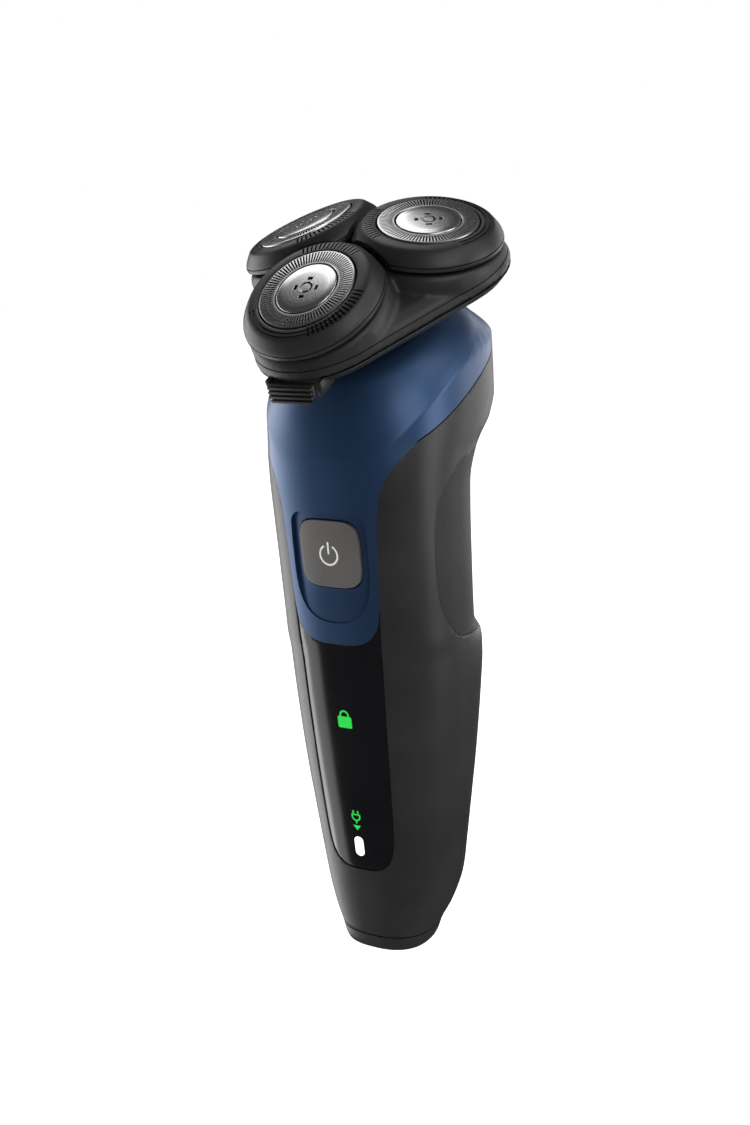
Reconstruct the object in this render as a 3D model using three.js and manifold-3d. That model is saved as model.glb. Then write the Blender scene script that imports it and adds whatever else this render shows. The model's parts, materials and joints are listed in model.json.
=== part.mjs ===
// Cordless three-head rotary shaver, in millimetres.
// +Z is up, the front faces -Y and +X is its right-hand side. The flat base stands on z = 0.
import * as THREE from 'three';
import { mergeVertices } from 'three/addons/utils/BufferGeometryUtils.js';
import Module from 'manifold-3d';

const wasm = await Module();
wasm.setup();

// ---------------------------------------------------------------- driving dimensions
const DEG = Math.PI / 180;
const GAP = 0.3; // air between two neighbouring pieces
const WALL = 2.0; // handle wall
const BODY_POWER = 2.5; // superellipse power of the handle's horizontal sections
const CENTRE_SHIFT = -3.9; // moves the whole shaver so that its box is centred on the origin

// Handle stations from the base up: height, half width, front y, back y.
const STATIONS = [
  [0, 10.0, -9.6, 8.0],
  [1.2, 10.6, -10.0, 8.7],
  [3.3, 11.2, -10.25, 9.5],
  [8, 13.4, -10.7, 13.6],
  [14, 14.9, -11.3, 17.0],
  [22, 15.9, -12.1, 18.6],
  [32, 17.1, -12.9, 20.2],
  [44, 18.5, -13.8, 22.0],
  [58, 19.6, -14.8, 24.3],
  [69, 20.3, -15.3, 25.3],
  [75, 20.2, -15.7, 20.8],
  [90, 20.5, -16.3, 21.1],
  [108, 21.1, -17.0, 21.6],
  [114, 21.6, -17.1, 25.5],
  [119, 22.2, -17.0, 32.0],
  [124, 22.4, -17.0, 35.0],
  [150, 22.2, -17.0, 35.2],
];
// Shoulder stations below the heads' plane: depth, half width, front u, back u.
const SHOULDER = [
  [200, 90, -140, 60],
  [31, 25.0, -31.9, 24.0],
  [27, 22.4, -29.0, 21.8],
  [24.5, 20.8, -26.8, 20.2],
  [22, 18.6, -24.2, 18.2],
  [20, 16.4, -21.6, 16.0],
  [18.8, 14.2, -18.5, 14.2],
];
const BASE_SEAM = 3.3; // height of the base cap's seam
const SEAM_DEPTH = 32.8; // depth of the seam under the shoulder

// Shaving unit frame: centre of the three cap centres, tilted forward.
const UNIT_Y = -1.09;
const UNIT_Z = 158.34;
const UNIT_TILT = 24.84 * DEG;
const HEAD_RADIUS = 17.65; // from the unit's axis to each head
const HEAD_SPLAY = 14.67 * DEG; // outward tilt of each head
const HEAD_ANGLES = [-90, 30, 150];
const HEAD_NAMES = ['front', 'right', 'left'];
const CAP_R = 10.6;
const DISC_R = 6.7;
const RIM_DEPTH = 12.6; // parting plane of the shaving unit

// Gear train in the shaving unit.
const SUN_TEETH = 27;
const PLANET_TEETH = 15;
const PLANET_RADIUS = 16.3; // from the unit's axis to each spindle
const GEAR_MODULE = (2 * PLANET_RADIUS) / (SUN_TEETH + PLANET_TEETH);
const GEAR_TOP = 13.9;
const GEAR_THICK = 2.2;

// Power button and panel on the front.
const BUTTON_Z = 95.2;
const BUTTON_HALF = 7.35;
const BUTTON_CORNER = 2.6;
const BUTTON_SINK = 0.45; // the button's face lies this far under the handle's form
const BUTTON_FLOOR = 2.8; // and its back this far
const DISH = { halfW: 9.3, halfH: 11.2, corner: 4, z: 93.2, depth: 0.8 };

// Trimmer at the back.
const TRIMMER_PIVOT_Y = 16.2;
const TRIMMER_PIVOT_Z = 104.5;
const TRIMMER_HALF = 10.0;
const TRIMMER_HUB_R = 4.5;
const TRIMMER_END = 81.5;
const TRIMMER_FRONT = 14.4; // inner face of the arm
const BAY_FRONT = 5; // the trimmer's bay runs back from here
const BAY_BOTTOM = 75.2;
const BAY_TOP = 110.1; // clears the arm's upper edge as it swings out
const PIN_R = 1.0;
const PIN_BORE_R = 1.3;
const COMB = { halfW: 9.2, root: 78.6, tip: 76.2, teeth: 14, inner: 17.4, outer: 18.4 };
const BLADE = { halfW: 7.8, root: 78.8, tip: 76.6, teeth: 12, inner: 16.1, outer: 17.1 };
const SLIDE = { halfW: 5.7, halfH: 5.6, corner: 1.6, z: 59.4 };
const SLIDE_BAY = { halfW: 6.2, halfH: 8.4, corner: 2, z: 57.2, floor: 1.55 };

// Charging socket in the base.
const SOCKET_W = 10;
const SOCKET_D = 6;
const SOCKET_DEPTH = 9.5;
const SOCKET_Y = 1.0;
const SOCKET_WALL = 1.5;
const CONTACT_X = 2.5;
const CONTACT_R = 1.0;
const CONTACT_Z = [4.8, 13.2];

// Board behind the front panel.
const BOARD_Y = -8.8;
const BOARD_Z = 66;
const BOARD_LEAN = 3.4 * DEG;
const BOARD_THICK = 1.2;
const BOARD_HALF = 7.6;
const BOARD_LOW = -41; // board ends, along it from BOARD_Z
const BOARD_HIGH = 39;

// Cell, motor and frame.
const CELL = { radius: 7.2, low: 17, high: 66, y: 7, stud: 2.6, studTop: 67.2 };
const MOTOR = { radius: 9.4, low: -46, high: -28, bossR: 3.4, bossTop: -26.8, bore: 1.5 };
const CHASSIS_HALF = 8.5;
const SHELF_HALF = 8.3;
const SCREW_X = 11.5;
const SCREW_Y = 6;
const SCREW_HEAD_Z = 20.2;

// Half sizes for cutting blocks that reach past the whole shaver.
const PAST_X = 40;
const PAST_Y = 60;
const PAST_TOP = 200;

// ---------------------------------------------------------------- solids
function toSolid(geometry) {
  const bare = geometry.index ? geometry.toNonIndexed() : geometry.clone();
  bare.deleteAttribute('normal');
  bare.deleteAttribute('uv');
  const merged = mergeVertices(bare, 1e-4);
  const index = merged.index.array;
  const faces = [];
  for (let i = 0; i < index.length; i += 3) {
    const [a, b, c] = [index[i], index[i + 1], index[i + 2]];
    if (a !== b && b !== c && c !== a) {
      faces.push(a, b, c);
    }
  }
  const vertProperties = new Float32Array(merged.attributes.position.array);
  const mesh = new wasm.Mesh({ numProp: 3, vertProperties, triVerts: new Uint32Array(faces) });
  return new wasm.Manifold(mesh);
}

function toGeometry(solid) {
  const mesh = solid.getMesh();
  const geometry = new THREE.BufferGeometry();
  geometry.setAttribute('position', new THREE.BufferAttribute(new Float32Array(mesh.vertProperties), 3));
  geometry.setIndex(new THREE.BufferAttribute(new Uint32Array(mesh.triVerts), 1));
  geometry.computeVertexNormals();
  return geometry;
}

function join(...solids) {
  return solids.reduce((whole, next) => whole.add(next));
}

function cut(solid, ...tools) {
  return tools.reduce((rest, tool) => rest.subtract(tool), solid);
}

// A box between two corners.
function box(x0, x1, y0, y1, z0, z1, matrix) {
  const geometry = new THREE.BoxGeometry(x1 - x0, y1 - y0, z1 - z0);
  geometry.translate((x0 + x1) / 2, (y0 + y1) / 2, (z0 + z1) / 2);
  if (matrix) geometry.applyMatrix4(matrix);
  return toSolid(geometry);
}

// A slab across the whole shaver between two heights.
function slab(z0, z1, matrix) {
  return box(-PAST_X, PAST_X, -PAST_Y, PAST_Y, z0, z1, matrix);
}

// A round bar along Z between two heights.
function rod(radius, z0, z1, x = 0, y = 0, sides = 24, matrix = null) {
  const geometry = new THREE.CylinderGeometry(radius, radius, z1 - z0, sides);
  geometry.rotateX(Math.PI / 2);
  geometry.translate(x, y, (z0 + z1) / 2);
  if (matrix) geometry.applyMatrix4(matrix);
  return toSolid(geometry);
}

// A round bar along X at a given y and z.
function crossRod(radius, x0, x1, y, z, sides = 20, matrix = null) {
  const geometry = new THREE.CylinderGeometry(radius, radius, x1 - x0, sides);
  geometry.rotateZ(Math.PI / 2);
  geometry.translate((x0 + x1) / 2, y, z);
  if (matrix) geometry.applyMatrix4(matrix);
  return toSolid(geometry);
}

// A turned shape about Z; the profile runs up the outside as [radius, height] points.
function turned(profile, sides, matrix = null) {
  const geometry = new THREE.LatheGeometry(profile.map(([r, z]) => new THREE.Vector2(r, z)), sides);
  geometry.rotateX(Math.PI / 2);
  if (matrix) geometry.applyMatrix4(matrix);
  return toSolid(geometry);
}

function closed(profile) {
  return [...profile, profile[0]];
}

function outlineShape(points) {
  return new THREE.Shape(points.map(([x, y]) => new THREE.Vector2(x, y)));
}

// An outline in plan, raised between two heights.
function raised(shape, z0, z1, curveSegments = 8, matrix = null) {
  const options = { depth: z1 - z0, bevelEnabled: false, steps: 1, curveSegments };
  const geometry = new THREE.ExtrudeGeometry(shape, options);
  geometry.translate(0, 0, z0);
  if (matrix) geometry.applyMatrix4(matrix);
  return toSolid(geometry);
}

// An outline in front view (x, z), carried from one y to another.
function fromFront(shape, y0, y1, curveSegments = 8) {
  const options = { depth: y1 - y0, bevelEnabled: false, steps: 1, curveSegments };
  const geometry = new THREE.ExtrudeGeometry(shape, options);
  geometry.rotateX(Math.PI / 2);
  geometry.translate(0, y1, 0);
  return toSolid(geometry);
}

// An outline in side view (y, z), carried from one x to another.
function fromSide(shape, x0, x1) {
  const options = { depth: x1 - x0, bevelEnabled: false, steps: 1 };
  const geometry = new THREE.ExtrudeGeometry(shape, options);
  const turn = new THREE.Matrix4().set(0, 0, 1, x0, 1, 0, 0, 0, 0, 1, 0, 0, 0, 0, 0, 1);
  geometry.applyMatrix4(turn);
  return toSolid(geometry);
}

// Moves each corner of a closed outline outwards; the outline runs anticlockwise.
function grown(points, distance) {
  return points.map(([x, y], i) => {
    const [px, py] = points[(i + points.length - 1) % points.length];
    const [nx, ny] = points[(i + 1) % points.length];
    const length = Math.hypot(nx - px, ny - py);
    return [x + (distance * (ny - py)) / length, y - (distance * (nx - px)) / length];
  });
}

function roundedBox(halfW, halfH, corner, cx = 0, cy = 0) {
  const shape = new THREE.Shape();
  shape.absarc(cx + halfW - corner, cy + halfH - corner, corner, 0, Math.PI / 2, false);
  shape.absarc(cx - halfW + corner, cy + halfH - corner, corner, Math.PI / 2, Math.PI, false);
  shape.absarc(cx - halfW + corner, cy - halfH + corner, corner, Math.PI, 1.5 * Math.PI, false);
  shape.absarc(cx + halfW - corner, cy - halfH + corner, corner, 1.5 * Math.PI, 2 * Math.PI, false);
  return shape;
}

// Rounded triangle round the unit's axis: three corner circles and their common tangents.
function rounded3(centreR, cornerR, arcSteps) {
  const points = [];
  for (const angle of HEAD_ANGLES) {
    for (let i = 0; i <= arcSteps; i += 1) {
      const a = (angle - 60 + (120 * i) / arcSteps) * DEG;
      const c = [centreR * Math.cos(angle * DEG), centreR * Math.sin(angle * DEG)];
      points.push([c[0] + cornerR * Math.cos(a), c[1] + cornerR * Math.sin(a)]);
    }
  }
  return points;
}

// A closed skin over a stack of level rings; each ring is { points, z }.
function stacked(rings, matrix = null) {
  const sides = rings[0].points.length;
  const tube = new THREE.CylinderGeometry(1, 1, 1, sides, rings.length - 1);
  tube.rotateX(Math.PI / 2);
  const place = tube.attributes.position;
  for (let i = 0; i < place.count; i += 1) {
    const level = Math.round((place.getZ(i) + 0.5) * (rings.length - 1));
    const ring = rings[level];
    const radius = Math.hypot(place.getX(i), place.getY(i));
    const turn = Math.atan2(place.getY(i), place.getX(i)) / (2 * Math.PI);
    const [mx, my] = middle(ring.points);
    const corner = ring.points[((Math.round(turn * sides + 0.25 * sides) % sides) + sides) % sides];
    const [x, y] = radius > 0.5 ? corner : [mx, my];
    place.setXYZ(i, x, y, ring.z);
  }
  if (matrix) tube.applyMatrix4(matrix);
  return toSolid(tube);
}

function middle(points) {
  const sum = points.reduce(([sx, sy], [x, y]) => [sx + x, sy + y], [0, 0]);
  return [sum[0] / points.length, sum[1] / points.length];
}

// One superellipse ring, its points running anticlockwise from the front.
function ovalRing(halfWidth, front, back, power, sides) {
  const points = [];
  const squash = (value) => Math.sign(value) * Math.abs(value) ** (2 / power);
  for (let i = 0; i < sides; i += 1) {
    const a = (i / sides) * 2 * Math.PI - Math.PI / 2;
    const x = halfWidth * squash(Math.cos(a));
    const y = (front + back) / 2 + ((back - front) / 2) * squash(Math.sin(a));
    points.push([x, y]);
  }
  return points;
}

const unitMatrix = new THREE.Matrix4()
  .makeTranslation(0, UNIT_Y, UNIT_Z)
  .multiply(new THREE.Matrix4().makeRotationX(UNIT_TILT));

// The handle's full form, drawn in from its surface by an inset.
function handleForm(inset, sides) {
  const rings = STATIONS.map(([z, halfWidth, front, back]) => ({
    z,
    points: ovalRing(halfWidth - inset, front + inset, back - inset, BODY_POWER, sides),
  }));
  const shoulder = SHOULDER.map(([depth, halfWidth, front, back]) => ({
    z: -depth - inset,
    points: ovalRing(halfWidth - inset, front + inset, back - inset, 2.2, sides),
  }));
  return stacked(rings).intersect(stacked(shoulder, unitMatrix));
}

// ---------------------------------------------------------------- outlines
// Front panel, half outline from its bottom centre up the right side.
const PANEL_HALF = [
  [0, 20.7],
  [4.0, 21.0],
  [6.3, 22.3],
  [7.7, 24.6],
  [8.4, 28.5],
  [9.1, 41],
  [9.8, 60],
  [10.35, 77],
  [10.6, 84],
];
// Lower edge of the coloured front shell, then its flare into the shoulder seam.
const SHELL_HALF = [
  [0, 75.2],
  [5.2, 75.5],
  [8.2, 76.7],
  [9.9, 79.2],
  [10.6, 84],
  [11.1, 96],
  [11.6, 103.5],
  [12.8, 109.3],
  [14.7, 113.3],
  [16.7, 116.4],
  [18.6, 118.9],
  [20.2, 120.9],
  [21.2, 122.8],
  [26, 136],
];

function mirrored(half) {
  const left = half.slice(1).reverse().map(([x, z]) => [-x, z]);
  return [...half, ...left];
}

function panelRegion(grow) {
  return fromFront(outlineShape(grown(mirrored(PANEL_HALF), grow)), -30, 2);
}

function shellRegion(grow) {
  const tongue = fromFront(outlineShape(grown(mirrored(SHELL_HALF), grow)), -30, -1);
  const shoulder = slab(-SEAM_DEPTH - grow, 40, unitMatrix);
  return tongue.add(shoulder);
}

// Rear grip, seen from the side.
const GRIP_SIDE = [
  [40, 72.6],
  [40, 112.6],
  [7.5, 112.4],
  [2.4, 110.8],
  [-1.7, 108.0],
  [-4.2, 104.3],
  [-5.1, 98],
  [-5.1, 90],
  [-4.6, 85],
  [-3.4, 80.6],
  [-0.9, 76.6],
  [3.4, 73.4],
];

function gripRegion(grow) {
  return fromSide(outlineShape(grown(GRIP_SIDE, grow)), -PAST_X, PAST_X);
}

// ---------------------------------------------------------------- scene graph
const shaver = new THREE.Group();
shaver.position.y = CENTRE_SHIFT;
const unit = new THREE.Group();
unit.position.set(0, UNIT_Y, UNIT_Z);
unit.rotation.x = UNIT_TILT;
shaver.add(unit);

const charcoal = { color: 0x2d2b2d, roughness: 0.45, metalness: 0.1 };
const blue = { color: 0x1d3a63, roughness: 0.3, metalness: 0.5 };
const pianoBlack = { color: 0x050506, roughness: 0.06, metalness: 0 };
const black = { color: 0x141415, roughness: 0.35, metalness: 0 };
const softBlack = { color: 0x1c1c1d, roughness: 0.7, metalness: 0 };
const warmGrey = { color: 0x4a4846, roughness: 0.5, metalness: 0 };
const steel = { color: 0xc8c9cb, roughness: 0.25, metalness: 1 };
const brass = { color: 0xb59a55, roughness: 0.35, metalness: 1 };
const clear = { color: 0xdfe6e2, roughness: 0.1, metalness: 0 };
const green = { color: 0x1f5a3a, roughness: 0.5, metalness: 0 };
const paleGrey = { color: 0x9a9ca0, roughness: 0.5, metalness: 0 };
const wrap = { color: 0x3f6f9c, roughness: 0.4, metalness: 0 };

function piece(name, solid, finish, parent = shaver) {
  const mesh = new THREE.Mesh(toGeometry(solid), new THREE.MeshStandardMaterial(finish));
  mesh.name = name;
  parent.add(mesh);
  return mesh;
}

// ---------------------------------------------------------------- handle shells
const FINE = 32; // sides of the outer forms
const MEDIUM = 24;
const COARSE = 20; // sides of the inner forms
const NECK_HOLE_R = 12.8;
const GLASS_SINK = 0.2;
const GLASS_BACK = 1.5;
const outer = handleForm(0, FINE);
const inner = handleForm(WALL, COARSE);
const hollow = inner.intersect(slab(-1, PAST_TOP));
const shell = outer.subtract(hollow);

function buildBaseCap() {
  const [halfW, halfD] = [SOCKET_W / 2, SOCKET_D / 2];
  const plate = outer.intersect(slab(-1, BASE_SEAM));
  const hole = box(-halfW, halfW, SOCKET_Y - halfD, SOCKET_Y + halfD, -1, BASE_SEAM + 1);
  piece('base_cap', plate.subtract(hole), charcoal);
}

function buildMainHousing() {
  const sleeve = shell.intersect(slab(BASE_SEAM + GAP, PAST_TOP));
  const bayOutline = roundedBox(SLIDE_BAY.halfW, SLIDE_BAY.halfH, SLIDE_BAY.corner, 0, SLIDE_BAY.z);
  const slideBay = fromFront(bayOutline, 10, PAST_Y).subtract(handleForm(SLIDE_BAY.floor, COARSE));
  const rest = cut(sleeve, shellRegion(GAP / 2), panelRegion(GAP / 2), gripRegion(GAP / 2));
  piece('main_housing', rest.subtract(slideBay), charcoal);
}

function buildFrontShell() {
  const dishOutline = roundedBox(DISH.halfW, DISH.halfH, DISH.corner, 0, DISH.z);
  const dish = fromFront(dishOutline, -PAST_Y, 0).subtract(handleForm(DISH.depth, MEDIUM));
  const windowHalf = BUTTON_HALF + GAP;
  const window = fromFront(roundedBox(windowHalf, windowHalf, BUTTON_CORNER, 0, BUTTON_Z), -PAST_Y, 0);
  const neckHole = rod(NECK_HOLE_R, -40, 0, 0, 0, FINE, unitMatrix);
  const skin = shell.intersect(shellRegion(-GAP / 2));
  piece('front_shell', cut(skin, dish, window, neckHole), blue);
}

function buildDisplay() {
  const glass = handleForm(GLASS_SINK, FINE).subtract(handleForm(GLASS_BACK, COARSE));
  const window = cut(panelRegion(-GAP / 2), shellRegion(GAP / 2));
  piece('display_window', glass.intersect(window), pianoBlack);
}

function buildRearGrip() {
  const bayHalf = TRIMMER_HALF + GAP;
  const bay = box(-bayHalf, bayHalf, BAY_FRONT, PAST_Y, BAY_BOTTOM, BAY_TOP);
  const skin = shell.intersect(gripRegion(-GAP / 2));
  piece('rear_grip', skin.subtract(bay), softBlack);
}

// ---------------------------------------------------------------- inside the handle
function buildSocket() {
  const [w, d] = [SOCKET_W / 2, SOCKET_D / 2];
  const [w2, d2] = [w + SOCKET_WALL, d + SOCKET_WALL];
  const top = SOCKET_DEPTH + SOCKET_WALL;
  const block = box(-w2, w2, SOCKET_Y - d2, SOCKET_Y + d2, BASE_SEAM + GAP, top);
  const mouth = box(-w, w, SOCKET_Y - d, SOCKET_Y + d, 0, SOCKET_DEPTH);
  const holes = [-CONTACT_X, CONTACT_X].map((x) => rod(CONTACT_R + GAP, 5, 20, x, SOCKET_Y, 12));
  piece('charging_socket', cut(block, mouth, ...holes), black);
  piece('contact_pin_left', rod(CONTACT_R, ...CONTACT_Z, -CONTACT_X, SOCKET_Y, 12), brass);
  piece('contact_pin_right', rod(CONTACT_R, ...CONTACT_Z, CONTACT_X, SOCKET_Y, 12), brass);
}

function buildBattery() {
  const can = rod(CELL.radius, CELL.low, CELL.high, 0, CELL.y, 24);
  const stud = rod(CELL.stud, CELL.high, CELL.studTop, 0, CELL.y, 12);
  piece('battery_cell', can.add(stud), wrap);
  const topTab = box(-3, 3, CELL.y - 4.5, CELL.y + 3, CELL.studTop + GAP, CELL.studTop + 0.7);
  piece('battery_tab_top', topTab, steel);
  const bottomTab = box(-3, 3, CELL.y - 4.5, CELL.y + 3, CELL.low - 0.9, CELL.low - GAP);
  piece('battery_tab_bottom', bottomTab, steel);
}

// The frame's upright plate, with a foot and a shelf round the cell and a cradle under the motor.
function buildChassis() {
  const plate = box(-CHASSIS_HALF, CHASSIS_HALF, -3.6, -2.2, 15, 108);
  const foot = box(-SHELF_HALF, SHELF_HALF, -3, 12, 14.4, 15.8);
  const shelf = box(-SHELF_HALF, SHELF_HALF, -3, 12, 69, 70.6);
  const cradle = box(-SHELF_HALF, SHELF_HALF, -3, 6, 106, 107.6);
  piece('chassis', join(plate, shelf, foot, cradle), paleGrey);
}

const boardMatrix = new THREE.Matrix4()
  .makeTranslation(0, BOARD_Y, BOARD_Z)
  .multiply(new THREE.Matrix4().makeRotationX(BOARD_LEAN));

function boardFront(z) {
  return BOARD_Y - Math.tan(BOARD_LEAN) * (z - BOARD_Z) - BOARD_THICK / 2 / Math.cos(BOARD_LEAN);
}

const SWITCH_HALF = 2.3;
const SWITCH_THICK = 1.3;

function buildBoard() {
  const half = BOARD_THICK / 2;
  const board = box(-BOARD_HALF, BOARD_HALF, -half, half, BOARD_LOW, BOARD_HIGH, boardMatrix);
  piece('circuit_board', board, green);
  const back = boardFront(BUTTON_Z) - GAP;
  const reach = SWITCH_HALF;
  const body = box(-reach, reach, back - SWITCH_THICK, back, BUTTON_Z - reach, BUTTON_Z + reach);
  piece('tactile_switch', body, paleGrey);
}

// Light guides behind the display: name, height, half width, half height, front y.
const GUIDES = [
  ['lock_light_guide', 57.5, 2.4, 3.0, -12.7],
  ['plug_light_guide', 33.4, 2.4, 2.6, -11.0],
  ['bar_light_guide', 26.4, 1.4, 2.2, -10.3],
];

function buildGuides() {
  for (const [name, z, halfW, halfH, front] of GUIDES) {
    piece(name, box(-halfW, halfW, front, boardFront(z + halfH) - GAP, z - halfH, z + halfH), clear);
  }
}

const COLLAR = [
  [6, -26.3],
  [12.4, -26.3],
  [12.4, -18.4],
  [5, -18.4],
  [5, -20],
  [6, -20],
];
const SEAL = [
  [3.2, -20.6],
  [4.7, -20.6],
  [4.7, -19.2],
  [3.2, -19.2],
];
const COUPLING = [
  [0, -26.4],
  [1.2, -26.4],
  [1.2, -22],
  [2.8, -22],
  [2.8, -15.2],
  [2.2, -14.6],
  [0, -14.6],
];

// The motor, its neck and its coupling all stand on the shaving unit's axis.
function buildMotor() {
  const can = rod(MOTOR.radius, MOTOR.low, MOTOR.high, 0, 0, 28);
  const boss = rod(MOTOR.bossR, MOTOR.high, MOTOR.bossTop, 0, 0, 16);
  const shaftBore = rod(MOTOR.bore, MOTOR.bossTop - 0.8, 0, 0, 0, 12);
  piece('drive_motor', can.add(boss).subtract(shaftBore), steel, unit);
  piece('neck_collar', turned(closed(COLLAR), 20), black, unit);
  piece('shaft_seal', turned(closed(SEAL), 20), softBlack, unit);
  piece('drive_coupling', turned(COUPLING, 12), paleGrey, unit);
}

function buildScrews() {
  for (const [name, x] of [['housing_screw_left', -SCREW_X], ['housing_screw_right', SCREW_X]]) {
    const head = rod(1.9, SCREW_HEAD_Z, SCREW_HEAD_Z + 1.8, x, SCREW_Y, 12);
    const shank = rod(1.0, SCREW_HEAD_Z + 1.8, SCREW_HEAD_Z + 9.8, x, SCREW_Y, 10);
    const slot = box(x - 0.3, x + 0.3, SCREW_Y - 1.4, SCREW_Y + 1.4, SCREW_HEAD_Z - 0.2, SCREW_HEAD_Z + 0.6);
    piece(name, head.add(shank).subtract(slot), steel);
  }
}

// ---------------------------------------------------------------- power button
function buildButton() {
  const outline = roundedBox(BUTTON_HALF, BUTTON_HALF, BUTTON_CORNER, 0, BUTTON_Z);
  const face = fromFront(outline, -PAST_Y, 0).intersect(handleForm(BUTTON_SINK, FINE));
  piece('power_button', face.subtract(handleForm(BUTTON_FLOOR, COARSE)), warmGrey);
}

// ---------------------------------------------------------------- trimmer
// A toothed plate with its teeth pointing down.
function toothedPlate({ halfW, root, tip, teeth, inner: near, outer: far }) {
  const top = TRIMMER_END - GAP;
  const points = [[halfW, top], [-halfW, top]];
  const pitch = (2 * halfW) / teeth;
  for (let i = 0; i < teeth; i += 1) {
    const x = -halfW + i * pitch;
    points.push([x + pitch * 0.02, root], [x + pitch * 0.25, tip]);
    points.push([x + pitch * 0.6, tip], [x + pitch * 0.8, root]);
  }
  return fromFront(outlineShape(points), near, far);
}

function pivotBar(radius, reach, sides) {
  return crossRod(radius, -reach, reach, TRIMMER_PIVOT_Y, TRIMMER_PIVOT_Z, sides);
}

function buildTrimmer() {
  const hub = pivotBar(TRIMMER_HUB_R, TRIMMER_HALF, 24);
  const arm = box(-TRIMMER_HALF, TRIMMER_HALF, TRIMMER_FRONT, PAST_Y, TRIMMER_END, TRIMMER_PIVOT_Z);
  const clip = hub.add(arm).intersect(handleForm(GAP / 2, FINE));
  piece('trimmer_arm', clip.subtract(pivotBar(PIN_BORE_R, 20, 16)), softBlack);
  piece('trimmer_pin', pivotBar(PIN_R, 11.6, 16), steel);
  piece('trimmer_comb', toothedPlate(COMB), steel);
  piece('trimmer_blade', toothedPlate(BLADE), steel);
}

// The sheet that closes the trimmer's bay inside, with two ears that hold the pin.
function buildTrimmerBracket() {
  const back = box(-11.9, 11.9, 8.6, 9.8, 76.5, 110);
  const ears = [-11.1, 11.1].map((x) => box(x - 0.7, x + 0.7, 9.4, 20, 98, 110));
  const bracket = join(back, ...ears).intersect(handleForm(WALL + GAP, COARSE));
  piece('trimmer_bracket', bracket.subtract(pivotBar(PIN_BORE_R, 20, 16)), paleGrey);
}

function buildTrimmerSlide() {
  const outline = roundedBox(SLIDE.halfW, SLIDE.halfH, SLIDE.corner, 0, SLIDE.z);
  const face = fromFront(outline, 10, PAST_Y).intersect(handleForm(0.2, FINE));
  piece('trimmer_release', face.subtract(handleForm(1.0, COARSE)), black);
}

// ---------------------------------------------------------------- shaving unit
// Rounded triangles on the unit's axis; each level is depth, corner circles' centres, their radius.
function triangleStack(levels) {
  const rings = levels.map(([depth, centreR, cornerR]) => ({
    z: -depth,
    points: rounded3(centreR, cornerR, CORNER_STEPS),
  }));
  return stacked(rings);
}

const HINGE_U = 25.0; // the cover's hinge, along the unit from its axis
const HINGE_W = -RIM_DEPTH - 0.35;
const HINGE_PIN_R = 0.8;
const HINGE_BORE_R = 1.1;
const KNUCKLE_R = 1.5;
const KNUCKLE_HALF = 2.8; // the cover's knuckle
const KNUCKLE_IN = 3.4; // the chamber's knuckles, beside it
const KNUCKLE_OUT = 6.8;
const SWING_R = KNUCKLE_R + 0.4;
const RIM = [RIM_DEPTH, 17.18, 15.1];
const CHAMBER = [[18.1, 14.5, 8], [17, 15.4, 9.9], [15, 16.8, 12.8], [12.9, 17.1, 15.0]];
const CHAMBER_ROOM = [[16.6, 15.2, 8.4], [12, 16.6, 13.6]];
const CORNER_STEPS = 5;

function hingeBar(radius, x0, x1) {
  return crossRod(radius, x0, x1, HINGE_U, HINGE_W, 12);
}

function buildUnitBase() {
  const bowl = triangleStack(CHAMBER);
  const chin = box(-7.2, 7.2, -32.0, -26.5, -17, -12.9);
  const pocket = box(-5.75, 5.75, -36, -30.2, -18, -10);
  const shaftHole = rod(4.2, -20, -10, 0, 0, 20);
  const right = hingeBar(KNUCKLE_R, KNUCKLE_IN, KNUCKLE_OUT);
  const left = hingeBar(KNUCKLE_R, -KNUCKLE_OUT, -KNUCKLE_IN);
  const arms = box(-KNUCKLE_OUT, KNUCKLE_OUT, 22.2, 24.9, HINGE_W - 1.45, -13.0);
  const middleGap = box(-KNUCKLE_IN + GAP, KNUCKLE_IN - GAP, 23.0, 30, -16, -8);
  const body = join(bowl, chin).subtract(triangleStack(CHAMBER_ROOM));
  const whole = join(body, arms.subtract(hingeBar(1.3, -9, 9)), right, left);
  const swing = hingeBar(SWING_R, -KNUCKLE_IN + GAP, KNUCKLE_IN - GAP);
  const open = cut(whole, pocket, shaftHole, swing, middleGap, hingeBar(HINGE_BORE_R, -9, 9));
  piece('unit_chamber', open, black, unit);
  piece('cover_hinge_pin', hingeBar(HINGE_PIN_R, -6.6, 6.6), steel, unit);
}

function buildLatch() {
  const plate = box(-5.4, 5.4, -33.0, -31.4, -16.9, -13.0);
  const ribs = [-16.5, -15.5, -14.5, -13.5].map((w) => box(-5.1, 5.1, -33.7, -32.8, w - 0.25, w + 0.25));
  piece('release_latch', join(plate, ...ribs), black, unit);
}

function gearShape(teeth, phase, bore) {
  const pitchR = (teeth * GEAR_MODULE) / 2;
  const [rootR, tipR] = [pitchR - 1.15 * GEAR_MODULE, pitchR + 0.85 * GEAR_MODULE];
  const points = [];
  const step = (2 * Math.PI) / teeth;
  for (let i = 0; i < teeth; i += 1) {
    const mid = phase + i * step;
    for (const [r, share] of [[rootR, -0.27], [tipR, -0.1], [tipR, 0.1], [rootR, 0.27]]) {
      const a = mid + share * step;
      points.push([r * Math.cos(a), r * Math.sin(a)]);
    }
  }
  const shape = outlineShape(points);
  if (bore) {
    shape.holes.push(new THREE.Path().absarc(0, 0, bore, 0, 2 * Math.PI, true));
  }
  return shape;
}

function aroundAxis(radius, angle) {
  return [radius * Math.cos(angle * DEG), radius * Math.sin(angle * DEG)];
}

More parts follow.
